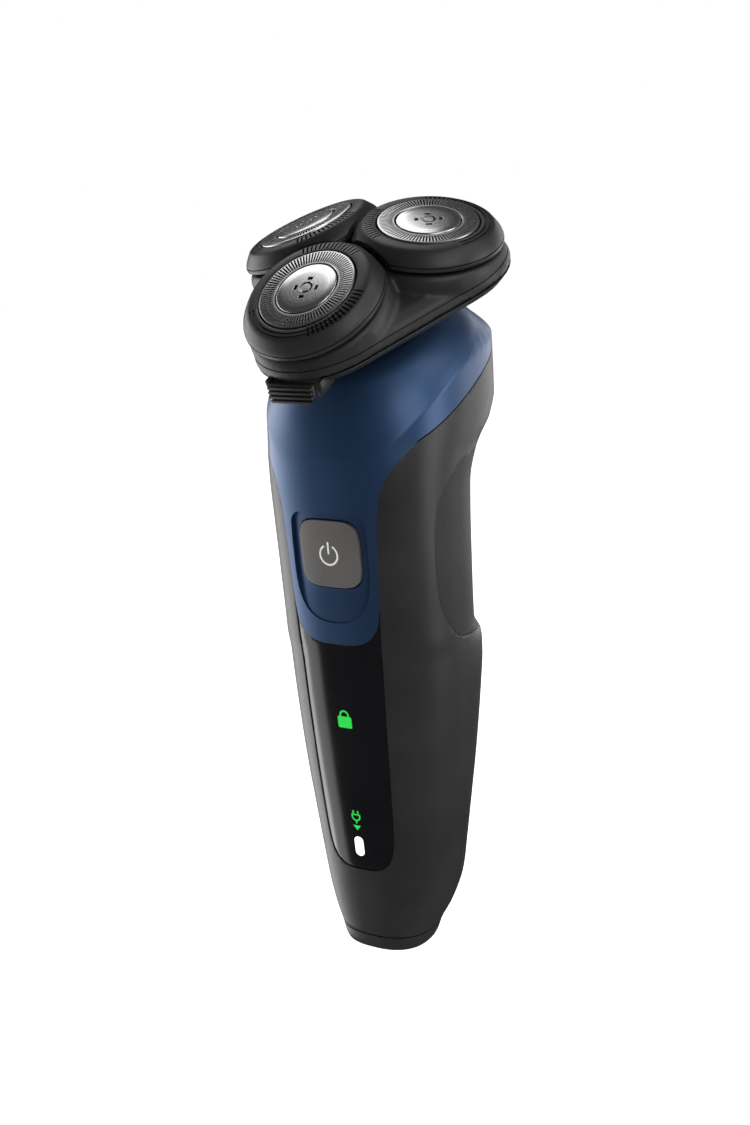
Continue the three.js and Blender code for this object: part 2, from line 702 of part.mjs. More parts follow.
// A tooth of the middle gear points at each spindle, and each spindle gear turns a gap to it.
function buildGears() {
  const top = -GEAR_TOP;
  const bottom = top - GEAR_THICK;
  const sun = raised(gearShape(SUN_TEETH, -Math.PI / 2, 3.4), bottom, top, 3);
  piece('centre_gear', sun, paleGrey, unit);
  HEAD_ANGLES.forEach((angle, i) => {
    const phase = (angle + 180) * DEG + Math.PI / PLANET_TEETH;
    const wheel = raised(gearShape(PLANET_TEETH, phase, 0), bottom, top);
    const spindle = turned([[0, bottom], [1.3, bottom], [1.3, -7.2], [1.0, -5.2], [0, -5.2]], 10);
    const mesh = piece(`${HEAD_NAMES[i]}_spindle_gear`, wheel.add(spindle), paleGrey, unit);
    mesh.position.set(...aroundAxis(PLANET_RADIUS, angle), 0);
  });
}

function buildGearPlate() {
  const plate = triangleStack([[13.5, 16.0, 11.4], [12.6, 16.2, 12.2]]);
  const holes = HEAD_ANGLES.map((angle) => rod(2.0, -20, 0, ...aroundAxis(PLANET_RADIUS, angle), 14));
  piece('gear_plate', cut(plate, ...holes), black, unit);
}

function headMatrix(angle) {
  const turn = new THREE.Matrix4().makeRotationZ(angle * DEG);
  const out = new THREE.Matrix4().makeTranslation(HEAD_RADIUS, 0, 0);
  const splay = new THREE.Matrix4().makeRotationY(HEAD_SPLAY);
  return turn.multiply(out).multiply(splay);
}

const LOBE = [
  [13.4, -16],
  [15.6, -16],
  [16.2, -9],
  [15.9, -5.2],
  [13.6, -5.2],
  [13.4, -5.6],
];
const WELL_R = 13.4;

// A low web with a round wall about each head, open underneath, on a hinge at the back.
function buildUnitCover() {
  const web = triangleStack([RIM, [9.5, 17.2, 14.7], [6.4, 14.6, 9.5]]);
  const lobes = HEAD_ANGLES.map((angle) => turned(closed(LOBE), 24, headMatrix(angle)));
  const bore = [[0, -20], [WELL_R, -20], [WELL_R, 2], [0, 2]];
  const wells = HEAD_ANGLES.map((angle) => turned(bore, 24, headMatrix(angle)));
  const limit = triangleStack([RIM, [-4, 17.3, 15.1]]);
  const room = triangleStack([[14, 16.6, 13.6], [8.9, 16.4, 12.9]]);
  const swing = hingeBar(SWING_R, -KNUCKLE_OUT - 0.4, KNUCKLE_OUT + 0.4);
  const sideGaps = box(-KNUCKLE_OUT - 0.4, KNUCKLE_OUT + 0.4, 22.9, 30, -16, HINGE_W + SWING_R);
  const knuckle = hingeBar(KNUCKLE_R, -KNUCKLE_HALF, KNUCKLE_HALF);
  const arm = box(-KNUCKLE_HALF, KNUCKLE_HALF, 22.0, HINGE_U, HINGE_W + 0.5, HINGE_W + 2.6);
  const cups = join(web, ...lobes).intersect(limit);
  const open = cut(cups, ...wells, room, swing, sideGaps);
  piece('head_cover', cut(join(open, arm, knuckle), hingeBar(HINGE_BORE_R, -9, 9)), black, unit);
}

const RETAINER_HOLE_R = 8.6;

function buildRetainer() {
  const plate = triangleStack([[10.9, 16.2, 12.8], [9.8, 16.2, 12.6]]);
  const holes = HEAD_ANGLES.map((angle) => rod(RETAINER_HOLE_R, -20, 0, ...aroundAxis(16, angle), 24));
  piece('cutter_retainer', cut(plate, ...holes), paleGrey, unit);
}

// ---------------------------------------------------------------- one shaving head
const RING = [
  [10.2, -5.2],
  [11.9, -5.2],
  [12.4, -2.6],
  [14.3, -2.8],
  [15.1, -4.3],
  [15.75, -4.2],
  [15.1, -2.4],
  [13.8, -0.7],
  [12.6, -0.2],
  [10.9, -0.3],
  [10.9, -3.9],
  [10.2, -3.9],
];
const CAP = [
  [10.0, -3.6],
  [CAP_R, -3.6],
  [CAP_R, -0.3],
  [10.3, 0],
  [7.0, 0],
  [7.0, -0.6],
  [10.0, -0.6],
];
const DISC = [
  [0, -0.6],
  [DISC_R, -0.6],
  [DISC_R, 0],
  [6.2, 0.2],
  [0, 0.3],
];
const CUTTER = [
  [2.1, -6.6],
  [3.2, -6.6],
  [3.2, -3.4],
  [9.5, -3.4],
  [9.5, -2.6],
  [0, -2.6],
  [0, -4.4],
  [2.1, -4.4],
];
const CUTTER_BLADES = 9;
const RING_GAP = 0.9; // each ring stops this far from the unit's axis planes
const SECTOR_REACH = 40;
const SECTOR_SIDE = (SECTOR_REACH - RING_GAP) * Math.tan(60 * DEG);

// Each ring keeps to its own third of the unit, so that the three meet along straight joints.
function sectorOf(angle) {
  const wedge = outlineShape([
    [RING_GAP, 0],
    [SECTOR_REACH, -SECTOR_SIDE],
    [2 * SECTOR_REACH, 0],
    [SECTOR_REACH, SECTOR_SIDE],
  ]);
  return raised(wedge, -40, 40, 2, new THREE.Matrix4().makeRotationZ(angle * DEG));
}

function buildHead(name, angle) {
  const place = headMatrix(angle);
  const ring = turned(closed(RING), 24, place).intersect(sectorOf(angle));
  piece(`${name}_head_ring`, ring, black, unit);
  piece(`${name}_slotted_cap`, turned(closed(CAP), 24, place), steel, unit);
  piece(`${name}_cap_disc`, turned(DISC, 20, place), steel, unit);
  buildCutter(name, place);
}

function buildCutter(name, place) {
  const wheel = turned(closed(CUTTER), 20, place);
  const blades = [];
  for (let i = 0; i < CUTTER_BLADES; i += 1) {
    const turn = new THREE.Matrix4().makeRotationZ((i * 360 * DEG) / CUTTER_BLADES);
    blades.push(box(7.6, 9.3, -0.35, 0.35, -2.8, -0.95, place.clone().multiply(turn)));
  }
  piece(`${name}_cutter`, join(wheel, ...blades), steel, unit);
}

buildBaseCap();
buildMainHousing();
buildFrontShell();
buildDisplay();
buildRearGrip();
buildSocket();
buildBattery();
buildChassis();
buildBoard();
buildGuides();
buildMotor();
buildScrews();
buildButton();
buildTrimmer();
buildTrimmerBracket();
buildTrimmerSlide();
buildUnitBase();
buildLatch();
buildGears();
buildGearPlate();
buildUnitCover();
buildRetainer();
HEAD_ANGLES.forEach((angle, i) => buildHead(HEAD_NAMES[i], angle));

export default shaver;
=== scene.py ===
import json
import math

import bpy
import numpy as np
from mathutils import Matrix, Vector


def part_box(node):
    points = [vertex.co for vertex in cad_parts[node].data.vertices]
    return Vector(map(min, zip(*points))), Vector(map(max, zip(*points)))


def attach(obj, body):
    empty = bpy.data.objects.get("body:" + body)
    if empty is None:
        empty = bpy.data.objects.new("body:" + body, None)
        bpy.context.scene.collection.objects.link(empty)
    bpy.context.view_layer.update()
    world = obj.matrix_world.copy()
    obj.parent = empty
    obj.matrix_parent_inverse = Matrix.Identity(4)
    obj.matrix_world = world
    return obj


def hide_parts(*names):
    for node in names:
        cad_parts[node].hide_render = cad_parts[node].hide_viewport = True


# A cordless shaver with three rotary heads. Every size below is in millimetres, in a drawing frame
# whose front faces -y; SHIFT moves its y to where the fixed frame has it, and MM turns it to metres.

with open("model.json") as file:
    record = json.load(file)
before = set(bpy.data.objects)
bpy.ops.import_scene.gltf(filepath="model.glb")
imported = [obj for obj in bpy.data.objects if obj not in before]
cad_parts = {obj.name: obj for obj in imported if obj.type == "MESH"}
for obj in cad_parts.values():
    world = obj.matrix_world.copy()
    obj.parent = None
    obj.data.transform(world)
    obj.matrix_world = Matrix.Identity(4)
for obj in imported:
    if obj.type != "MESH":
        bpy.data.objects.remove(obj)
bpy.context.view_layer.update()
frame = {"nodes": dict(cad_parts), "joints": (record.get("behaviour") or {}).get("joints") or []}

MM = 0.001
DEG = math.pi / 180
JOINTS = {joint["name"]: joint for joint in frame["joints"]}

# ------------------------------------------------------------------ places taken from the frame
UNIT_CENTRE = Vector(JOINTS["drive_spin"]["pos_m"]) / MM
UNIT_UP = Vector(JOINTS["drive_spin"]["axis"]).normalized()
SIDEWAYS = Vector((1, 0, 0))
UNIT_ALONG = UNIT_UP.cross(SIDEWAYS).normalized()
UNIT_Y = -1.09
SHIFT = UNIT_CENTRE.y - UNIT_Y
PIVOT_Y = JOINTS["trimmer_fold"]["pos_m"][1] / MM - SHIFT
PIVOT_Z = JOINTS["trimmer_fold"]["pos_m"][2] / MM
BUTTON_Z = sum(corner.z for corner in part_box("power_button")) / 2 / MM
LOCK_Z = sum(corner.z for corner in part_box("lock_light_guide")) / 2 / MM
PLUG_Z = sum(corner.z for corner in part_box("plug_light_guide")) / 2 / MM
BAR_Z = sum(corner.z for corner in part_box("bar_light_guide")) / 2 / MM

# ------------------------------------------------------------------ driving sizes
WALL = 2.0
GAP = 0.3
BASE_SEAM = 3.3
SEAM_DEPTH = 32.8
BODY_POWER = 2.5
SHOULDER_POWER = 2.2
HEADS = {"front": -90, "right": 30, "left": 150}
HEAD_RADIUS = 17.65
HEAD_SPLAY = 14.67 * DEG
WELL_RADIUS = 13.4
HINGE_U = 25.0
HINGE_W = -12.95
KNUCKLE_RADIUS = 1.5
HINGE_BORE = 1.1
LATCH_W = -13.0
BUTTON_HALF = 7.35
BUTTON_POWER = 4.4
BUTTON_DEPTH = 0.45
BAY_HALF = 10.3
BAY_BOTTOM = 75.2
BAY_TOP = PIVOT_Z + 5.6
DISH_TOP = 104.3
DISH_DEEP = 88.5
DISH_END = 80.5

# Depths below the handle's form: the display's face, and the top and bed of the marks on it.
GLASS_DEPTH = 0.2
MARK_TOP = 0.165
MARK_BED = 0.5
LINE = 0.42

# SPAN is wider and deeper than the handle, and CLEAR_OF_HANDLE lies outside it, in front and behind.
SPAN = (-40, 40, -60, 60)
CLEAR_OF_HANDLE = 60

# Handle stations from the base up: height, half width, front y, back y.
STATIONS = np.array([
    (0, 10.0, -9.6, 8.0),
    (1.2, 10.6, -10.0, 8.7),
    (3.3, 11.2, -10.25, 9.7),
    (8, 13.3, -10.7, 13.6),
    (14, 14.9, -11.3, 17.0),
    (22, 15.9, -12.1, 18.6),
    (32, 17.1, -12.9, 20.2),
    (44, 18.5, -13.8, 22.0),
    (58, 19.6, -14.8, 24.3),
    (66, 20.1, -15.2, 25.2),
    (70, 20.2, -15.4, 25.0),
    (75, 20.2, -15.7, 21.2),
    (90, 20.5, -16.3, 21.1),
    (106, 21.0, -16.95, 21.5),
    (114, 21.6, -17.1, 25.5),
    (119, 22.2, -17.0, 32.0),
    (124, 22.4, -17.0, 34.8),
    (150, 22.2, -17.0, 35.1),
])
# Shoulder sections below the unit's centre: depth, half width, front u, back u.
SHOULDER = np.array([
    (18.8, 14.2, -18.5, 14.2),
    (20, 16.4, -21.6, 16.0),
    (22, 18.6, -24.2, 18.2),
    (24.5, 20.8, -26.8, 20.2),
    (27, 22.4, -29.0, 21.8),
    (31, 25.0, -31.9, 24.0),
    (200, 90, -140, 60),
])
# Levels where the section planes start to lean, where the crease runs and where the form ends.
LEAN_START = 84.0
CREASE_LEVEL = 136.2
CREASE_LEAN = 34.5 * DEG
TOP_LEVEL = 142.35
BULGE_TOP = 124.0

# How finely a handle form is divided: for a face that is seen, and for one that is only cut with.
FINE = {"step": 0.9}
COARSE = {"sides": 96, "step": 2.6}


# ------------------------------------------------------------------ making and placing meshes
def deselect():
    if bpy.context.object and bpy.context.object.mode != "OBJECT":
        bpy.ops.object.mode_set(mode="OBJECT")
    bpy.ops.object.select_all(action="DESELECT")


def take(obj):
    deselect()
    obj.select_set(True)
    bpy.context.view_layer.objects.active = obj
    return obj


def edit(obj):
    take(obj)
    bpy.ops.object.mode_set(mode="EDIT")
    bpy.ops.mesh.select_all(action="SELECT")


def done(obj, name=None):
    bpy.ops.object.mode_set(mode="OBJECT")
    if name:
        obj.name = name
        obj.data.name = name
    return obj


def close_skin():
    """Turns every face of the mesh being edited outwards and leaves edit mode."""
    bpy.ops.mesh.select_all(action="SELECT")
    bpy.ops.mesh.normals_make_consistent(inside=False)
    return done(bpy.context.object)


def smooth(obj, angle=35):
    take(obj)
    bpy.ops.object.shade_smooth_by_angle(angle=angle * DEG)
    return obj


def apply_modifier(obj, kind, **settings):
    take(obj)
    modifier = obj.modifiers.new(kind.lower(), kind)
    for key, value in settings.items():
        setattr(modifier, key, value)
    bpy.ops.object.modifier_apply(modifier=modifier.name)
    return obj


def combine(obj, tool, operation):
    """A boolean that uses its tool up."""
    apply_modifier(obj, "BOOLEAN", operation=operation, object=tool, solver="MANIFOLD")
    bpy.data.objects.remove(tool, do_unlink=True)
    return obj


def cut(obj, *tools):
    for tool in tools:
        combine(obj, tool, "DIFFERENCE")
    return obj


def within(obj, tool):
    return combine(obj, tool, "INTERSECT")


def join(obj, *others):
    for other in others:
        combine(obj, other, "UNION")
    return obj


def ring_of(obj, count, matrix, start=0.0, turn=360.0):
    """Repeats a mesh round its matrix's third axis, from a start angle through a turn."""
    axis = matrix.to_3x3().col[2].normalized()
    centre = matrix.translation
    if start:
        first_turn = Matrix.Translation(centre) @ Matrix.Rotation(start * DEG, 4, axis)
        obj.data.transform(first_turn @ Matrix.Translation(-centre))
    edit(obj)
    step = turn / count * DEG
    bpy.ops.mesh.spin(steps=count - 1, dupli=True, angle=step * (count - 1), center=centre, axis=axis)
    return done(obj)


def gather(name, objects):
    """Puts separate solids into one mesh."""
    deselect()
    for obj in objects:
        obj.select_set(True)
    bpy.context.view_layer.objects.active = objects[0]
    if len(objects) > 1:
        bpy.ops.object.join()
    return done(bpy.context.object, name)


def copy_of(obj, name):
    twin = obj.copy()
    twin.data = obj.data.copy()
    twin.name = name
    twin.data.name = name
    bpy.context.scene.collection.objects.link(twin)
    return twin


def round_edges(obj, width, segments=2, angle=42):
    return apply_modifier(
        obj, "BEVEL", width=width * MM, segments=segments, limit_method="ANGLE",
        angle_limit=angle * DEG, use_clamp_overlap=True, miter_outer="MITER_SHARP",
    )


def axes(x_axis, y_axis, z_axis, at):
    """A matrix from millimetres along three axes to metres in the fixed frame."""
    turn = Matrix((x_axis, y_axis, z_axis)).transposed()
    return Matrix.Translation(Vector(at) * MM) @ (turn * MM).to_4x4()


DRAWING = axes((1, 0, 0), (0, 1, 0), (0, 0, 1), (0, SHIFT, 0))
FRONT_VIEW = axes((1, 0, 0), (0, 0, 1), (0, -1, 0), (0, SHIFT, 0))
SIDE_VIEW = axes((0, 1, 0), (0, 0, 1), (1, 0, 0), (0, SHIFT, 0))
UNIT = axes(SIDEWAYS, UNIT_ALONG, UNIT_UP, UNIT_CENTRE)
LATCH_VIEW = axes(SIDEWAYS, UNIT_UP, -UNIT_ALONG, UNIT_CENTRE) @ Matrix.Translation((0, LATCH_W, 0))
HINGE = {"y": HINGE_U, "z": HINGE_W, "matrix": UNIT}


def head_place(name):
    turn = Matrix.Rotation(HEADS[name] * DEG, 4, "Z")
    out = Matrix.Translation((HEAD_RADIUS, 0, 0))
    return UNIT @ turn @ out @ Matrix.Rotation(HEAD_SPLAY, 4, "Y")


def placed(obj, matrix, name=None):
    """Moves a mesh modelled in millimetres at the origin to its place."""
    obj.data.transform(matrix)
    obj.data.update()
    obj.matrix_world = Matrix.Identity(4)
    if name:
        done(obj, name)
    return obj


def block(x0, x1, y0, y1, z0, z1, matrix=DRAWING, name="block"):
    deselect()
    bpy.ops.mesh.primitive_cube_add(size=1)
    obj = bpy.context.object
    size = Matrix.Diagonal((x1 - x0, y1 - y0, z1 - z0, 1))
    middle = Matrix.Translation(((x0 + x1) / 2, (y0 + y1) / 2, (z0 + z1) / 2))
    return placed(obj, matrix @ middle @ size, name)


def rod(radius, z0, z1, x=0, y=0, sides=64, matrix=DRAWING, name="rod"):
    deselect()
    bpy.ops.mesh.primitive_cylinder_add(vertices=sides, radius=radius, depth=z1 - z0)
    obj = bpy.context.object
    return placed(obj, matrix @ Matrix.Translation((x, y, (z0 + z1) / 2)), name)


def cross_rod(radius, x0, x1, y, z, sides=48, matrix=DRAWING, name="rod"):
    turn = Matrix.Translation((0, y, z)) @ Matrix.Rotation(90 * DEG, 4, "Y")
    return rod(radius, x0, x1, sides=sides, matrix=matrix @ turn, name=name)


def turned(name, profile, matrix, steps=96):
    """Spins a closed profile of (radius, height) points about Z."""
    deselect()
    bpy.ops.mesh.primitive_circle_add(vertices=len(profile), fill_type="NOTHING")
    obj = bpy.context.object
    for vertex, (radius, height) in zip(obj.data.vertices, profile):
        vertex.co = (radius, 0, height)
    edit(obj)
    bpy.ops.mesh.spin(steps=steps, angle=2 * math.pi, center=(0, 0, 0), axis=(0, 0, 1))
    bpy.ops.mesh.select_all(action="SELECT")
    bpy.ops.mesh.remove_doubles(threshold=1e-4)
    return placed(close_skin(), matrix, name)


def prism(name, outline, near, far, matrix=FRONT_VIEW):
    """Extrudes a closed outline along the third axis of its matrix."""
    deselect()
    bpy.ops.mesh.primitive_circle_add(vertices=len(outline), fill_type="NGON")
    obj = bpy.context.object
    for vertex, (a, b) in zip(obj.data.vertices, outline):
        vertex.co = (a, b, near)
    edit(obj)
    bpy.ops.mesh.extrude_region_move(TRANSFORM_OT_translate={"value": (0, 0, far - near)})
    return placed(close_skin(), matrix, name)


def lofted(name, rings, matrix=DRAWING):
    """A closed skin through rings of points, all with the same number of points."""
    sides = len(rings[0])
    rows = len(rings)
    deselect()
    bpy.ops.mesh.primitive_grid_add(x_subdivisions=sides, y_subdivisions=rows - 1, size=1)
    obj = bpy.context.object
    spots = np.array([np.vstack([ring, ring[:1]]) for ring in rings], float)
    obj.data.vertices.foreach_set("co", spots.ravel())
    edit(obj)
    bpy.ops.mesh.remove_doubles(threshold=1e-4)
    bpy.ops.mesh.select_all(action="DESELECT")
    bpy.ops.mesh.select_non_manifold()
    bpy.ops.mesh.fill_holes(sides=0)
    return placed(close_skin(), matrix, name)


# ------------------------------------------------------------------ outlines
def curve_through(points, steps=8):
    """A smooth open line through the points, with no overshoot beside a long stretch."""
    spots = [Vector(point) for point in points]
    first = spots[0] * 2 - spots[1]
    last = spots[-1] * 2 - spots[-2]
    spots = [first, *spots, last]
    line = []
    for i in range(1, len(spots) - 2):
        a, b, c, d = spots[i - 1:i + 3]
        t = [0.0]
        for start, end in ((a, b), (b, c), (c, d)):
            t.append(t[-1] + max((end - start).length, 1e-6) ** 0.5)
        for k in range(steps):
            s = t[1] + (t[2] - t[1]) * k / steps
            ab = a.lerp(b, (s - t[0]) / (t[1] - t[0]))
            bc = b.lerp(c, (s - t[1]) / (t[2] - t[1]))
            cd = c.lerp(d, (s - t[2]) / (t[3] - t[2]))
            abc = ab.lerp(bc, (s - t[0]) / (t[2] - t[0]))
            bcd = bc.lerp(cd, (s - t[1]) / (t[3] - t[1]))
            line.append(tuple(abc.lerp(bcd, (s - t[1]) / (t[2] - t[1]))))
    return [*line, tuple(spots[-2])]


def mirrored(half):
    """A whole outline from its right half, which starts on the centre line."""
    return [(-x, z) for x, z in reversed(half[1:])] + list(half)


def grown(outline, distance):
    """Moves every point of a closed outline outwards."""
    count = len(outline)
    area = sum(
        outline[i - 1][0] * outline[i][1] - outline[i][0] * outline[i - 1][1] for i in range(count))
    side = math.copysign(distance, area)
    moved = []
    for i, (x, y) in enumerate(outline):
        dx = outline[(i + 1) % count][0] - outline[i - 1][0]
        dy = outline[(i + 1) % count][1] - outline[i - 1][1]
        length = math.hypot(dx, dy)
        moved.append((x + side * dy / length, y - side * dx / length))
    return moved


def arc(cx, cy, radius, start, end, steps):
    angles = [(start + (end - start) * i / steps) * DEG for i in range(steps + 1)]
    return [(cx + radius * math.cos(a), cy + radius * math.sin(a)) for a in angles]


def rounded_box(half_w, half_h, corner, cx=0, cy=0, steps=10):
    x, y = half_w - corner, half_h - corner
    return [
        *arc(cx + x, cy + y, corner, 0, 90, steps),
        *arc(cx - x, cy + y, corner, 90, 180, steps),
        *arc(cx - x, cy - y, corner, 180, 270, steps),
        *arc(cx + x, cy - y, corner, 270, 360, steps),
    ]


def squircle(half, power, cy=0, steps=96):
    points = []
    for i in range(steps):
        a = 2 * math.pi * i / steps
        c, s = math.cos(a), math.sin(a)
        reach = (abs(c) ** power + abs(s) ** power) ** (-1 / power)
        points.append((half * reach * c, cy + half * reach * s))
    return points


def rounded_triangle(centre_r, corner_r, steps=14):
    points = []
    for angle in HEADS.values():
        cx, cy = centre_r * math.cos(angle * DEG), centre_r * math.sin(angle * DEG)
        points += arc(cx, cy, corner_r, angle - 60, angle + 60, steps)
    return points


def triangle_stack(name, levels):
    """A closed skin over rounded triangles; each level is depth, centre radius, corner radius."""
    rings = []
    for depth, centre_r, corner_r in levels:
        outline = rounded_triangle(centre_r, corner_r)
        rings.append(np.array([(x, y, -depth) for x, y in outline]))
    return lofted(name, rings, UNIT)


def tab_outline(half, top, middle, radius, steps):
    """A tab with a straight top and both lower corners rounded about the same middle height."""
    left = arc(radius - half, middle, radius, 180, 270, steps)
    right = arc(half - radius, middle, radius, 270, 360, steps)
    return [(half, top), (-half, top), *left, *right]


# ------------------------------------------------------------------ the handle's form
def column(table, at, index):
    """A station column's smooth value at a height, without overshoot."""
    keys, values = table[:, 0], table[:, index]
    slope = np.diff(values) / np.diff(keys)
    before, after = slope[:-1], slope[1:]
    same = before * after > 0
    inner = np.where(same, 2 * before * after / np.where(same, before + after, 1), 0)
    tangent = np.concatenate([slope[:1], inner, slope[-1:]])
    at = np.clip(at, keys[0], keys[-1])
    k = np.clip(np.searchsorted(keys, at) - 1, 0, len(keys) - 2)
    span = keys[k + 1] - keys[k]
    t = (at - keys[k]) / span
    rise = 3 * t**2 - 2 * t**3
    start_pull = (t**3 - 2 * t**2 + t) * span * tangent[k]
    end_pull = (t**3 - t**2) * span * tangent[k + 1]
    return (1 - rise) * values[k] + rise * values[k + 1] + start_pull + end_pull


def oval(across, along, table, at, inset, power):
    """Above 1 outside the oval section that a table gives at a height, below 1 inside it."""
    half = column(table, at, 1) - inset
    front = column(table, at, 2) + inset
    back = column(table, at, 3) - inset
    side = np.abs(across) / half
    deep = np.abs(along - (front + back) / 2) / ((back - front) / 2)
    return side**power + deep**power


def past_body(points, inset):
    return oval(points[..., 0], points[..., 1], STATIONS, points[..., 2], inset, BODY_POWER)


def past_shoulder(points, inset):
    local = points - np.array((0, UNIT_Y, UNIT_CENTRE.z))
    depth = -(local @ np.array(UNIT_UP)) - inset
    return oval(local[..., 0], local @ np.array(UNIT_ALONG), SHOULDER, depth, inset, SHOULDER_POWER)


LONGEST_RAY = 70.0
HALVINGS = 30


def surface_distance(origins, rays, past, depth_of):
    """How far each ray runs from its section's middle before it leaves the form."""
    low, high = np.zeros(rays.shape[:2]), np.full(rays.shape[:2], LONGEST_RAY)
    for _ in range(HALVINGS):
        middle = (low + high) / 2
        spots = origins[:, None] + rays * middle[..., None]
        outside = past(spots, depth_of(spots[..., 2])) > 1
        high = np.where(outside, middle, high)
        low = np.where(outside, low, middle)
    return low


def section_lean(level):
    """How far a section plane leans back: level in the grip, along the crease at the shoulder."""
    rise = np.clip((level - LEAN_START) / (CREASE_LEVEL - LEAN_START), 0, 1)
    crown = np.clip((level - CREASE_LEVEL) / (TOP_LEVEL - CREASE_LEVEL), 0, 1)
    top_lean = math.atan2(UNIT_ALONG.z, UNIT_ALONG.y)
    return CREASE_LEAN * rise * rise * (3 - 2 * rise) + (top_lean - CREASE_LEAN) * crown


def handle_form(name, inset=0.0, sides=160, step=1.3, softness=0.07):
    """The handle's whole form, drawn in by an inset that may be a function of height.

    Each ray stops at the body or the shoulder, whichever is nearer, with a soft crease where they meet.
    """
    depth_of = inset if callable(inset) else lambda z: inset
    foot = [0, 0.35, 0.8, 1.3]
    wall = np.arange(2.0, CREASE_LEVEL - 3, step)
    crease = np.arange(CREASE_LEVEL - 3, CREASE_LEVEL + 1.2, 0.25)
    top = np.linspace(CREASE_LEVEL + 1.3, TOP_LEVEL, 14)
    level = np.concatenate([foot, wall, crease, top])
    at = np.minimum(level, BULGE_TOP)
    lean = section_lean(level)
    flat = np.zeros_like(level)
    origins = np.stack([flat, (column(STATIONS, at, 2) + column(STATIONS, at, 3)) / 2, level], axis=1)
    ahead = np.stack([flat, np.cos(lean), np.sin(lean)], axis=1)
    angles = np.linspace(0, 2 * math.pi, sides, endpoint=False)[None, :, None]
    rays = np.cos(angles) * np.array(SIDEWAYS) + np.sin(angles) * ahead[:, None]
    body = surface_distance(origins, rays, past_body, depth_of)
    crown = surface_distance(origins, rays, past_shoulder, depth_of)
    rounded = -softness * np.logaddexp(-body / softness, -crown / softness)
    reach = np.where(np.abs(body - crown) < 14 * softness, rounded, np.minimum(body, crown))
    return lofted(name, origins[:, None] + rays * reach[..., None])


# ------------------------------------------------------------------ outlines on the handle
PANEL_HALF = [
    (0, 20.7), (4.0, 21.0), (6.3, 22.3), (7.7, 24.6), (8.4, 28.5),
    (9.1, 41), (9.8, 60), (10.35, 77), (10.6, 84),
]
TONGUE_HALF = [
    (0, 75.2), (4.6, 75.4), (7.6, 76.5), (9.6, 79.0), (10.5, 84), (11.1, 96), (11.6, 103.5),
    (12.8, 109.3), (14.7, 113.3), (16.7, 116.4), (18.6, 118.9), (20.2, 120.9), (21.2, 122.8),
]
TONGUE_TOP = (26, 136)
GRIP_SIDE = [
    (40, 112.6), (7.5, 112.4), (2.4, 110.8), (-1.7, 108.0), (-4.2, 104.3), (-5.1, 98),
    (-5.1, 90), (-4.6, 85), (-3.4, 80.6), (-0.9, 76.6), (3.4, 73.4), (40, 72.6),
]


def panel_region(grow):
    outline = mirrored(curve_through(PANEL_HALF, 6))
    return prism("panel_region", grown(outline, grow), -2, 30)


def tongue_region(grow):
    outline = mirrored([*curve_through(TONGUE_HALF, 6), TONGUE_TOP])
    tongue = prism("tongue_region", grown(outline, grow), 1, 30)
    shoulder = block(*SPAN, -SEAM_DEPTH - grow, 40, UNIT)
    return join(tongue, shoulder)


def grip_region(grow):
    return prism("grip_region", grown(curve_through(GRIP_SIDE, 6), grow), -40, 40, SIDE_VIEW)


# ------------------------------------------------------------------ handle shells
def hollow_of(inset):
    """The handle's inside, open at the base."""
    return handle_form("hollow", inset, **COARSE)


def base_cap(outer):
    cap = within(copy_of(outer, "base_cap_shell"), block(*SPAN, -1, BASE_SEAM))
    socket = prism("socket_hole", rounded_box(5, 3, 1.2, 0, 1.0), -1, 5, DRAWING)
    return round_edges(cut(cap, socket), 0.18)


def main_housing(outer, hollow):
    shell = within(copy_of(outer, "main_housing_shell"), block(*SPAN, BASE_SEAM + GAP, 200))
    cut(shell, copy_of(hollow, "inside"), tongue_region(GAP / 2), panel_region(GAP / 2), grip_region(GAP / 2))
    bay = prism("slide_bay", rounded_box(6.2, 8.4, 2, 0, 57.2), -CLEAR_OF_HANDLE, -10)
    cut(bay, handle_form("bay_floor", 1.55, **COARSE))
    return round_edges(cut(shell, bay), 0.16)


def front_shell(outer, hollow):
    shell = within(copy_of(outer, "front_shell_cover"), tongue_region(-GAP / 2))
    cut(shell, copy_of(hollow, "inside"), rod(12.8, -40, 0, sides=96, matrix=UNIT))
    dish = prism("dish_region", dish_outline(), 1, CLEAR_OF_HANDLE)
    cut(dish, handle_form("dish_floor", dish_depth, **FINE))
    window = squircle(BUTTON_HALF + 0.28, BUTTON_POWER, BUTTON_Z)
    cut(shell, dish, prism("button_window", window, 1, CLEAR_OF_HANDLE))
    return round_edges(shell, 0.22)


def dish_outline():
    """A shallow U with a crowned top, as a whole outline from its right half."""
    crown = [(9.3 * math.sin(a * DEG), DISH_TOP + math.cos(a * DEG) - 1) for a in (0, 20, 38, 52)]
    side = [(8.9, 102.6), (9.3, 99.5), (9.35, 94), (9.2, 89), (8.4, 85.2)]
    bottom = [(6.6, 82.2), (3.6, 80.4), (0, 79.9)]
    return mirrored(curve_through([*crown, *side, *bottom], 5))


def dish_depth(z):
    """Full depth beside the button, rising to a low step below it."""
    share = np.clip((z - DISH_END) / (DISH_DEEP - DISH_END), 0, 1)
    return 0.22 + 0.62 * share * share * (3 - 2 * share)


def display_window():
    glass = handle_form("display_glass", GLASS_DEPTH)
    region = cut(panel_region(-GAP / 2), tongue_region(GAP / 2))
    cut(glass, hollow_of(1.5))
    return round_edges(within(glass, region), 0.14)


def rear_grip(outer, hollow):
    shell = within(copy_of(outer, "rear_grip_pad"), grip_region(-GAP / 2))
    cut(shell, copy_of(hollow, "inside"))
    cut(shell, block(-BAY_HALF, BAY_HALF, 5, CLEAR_OF_HANDLE, BAY_BOTTOM, BAY_TOP))
    return round_edges(shell, 0.2)


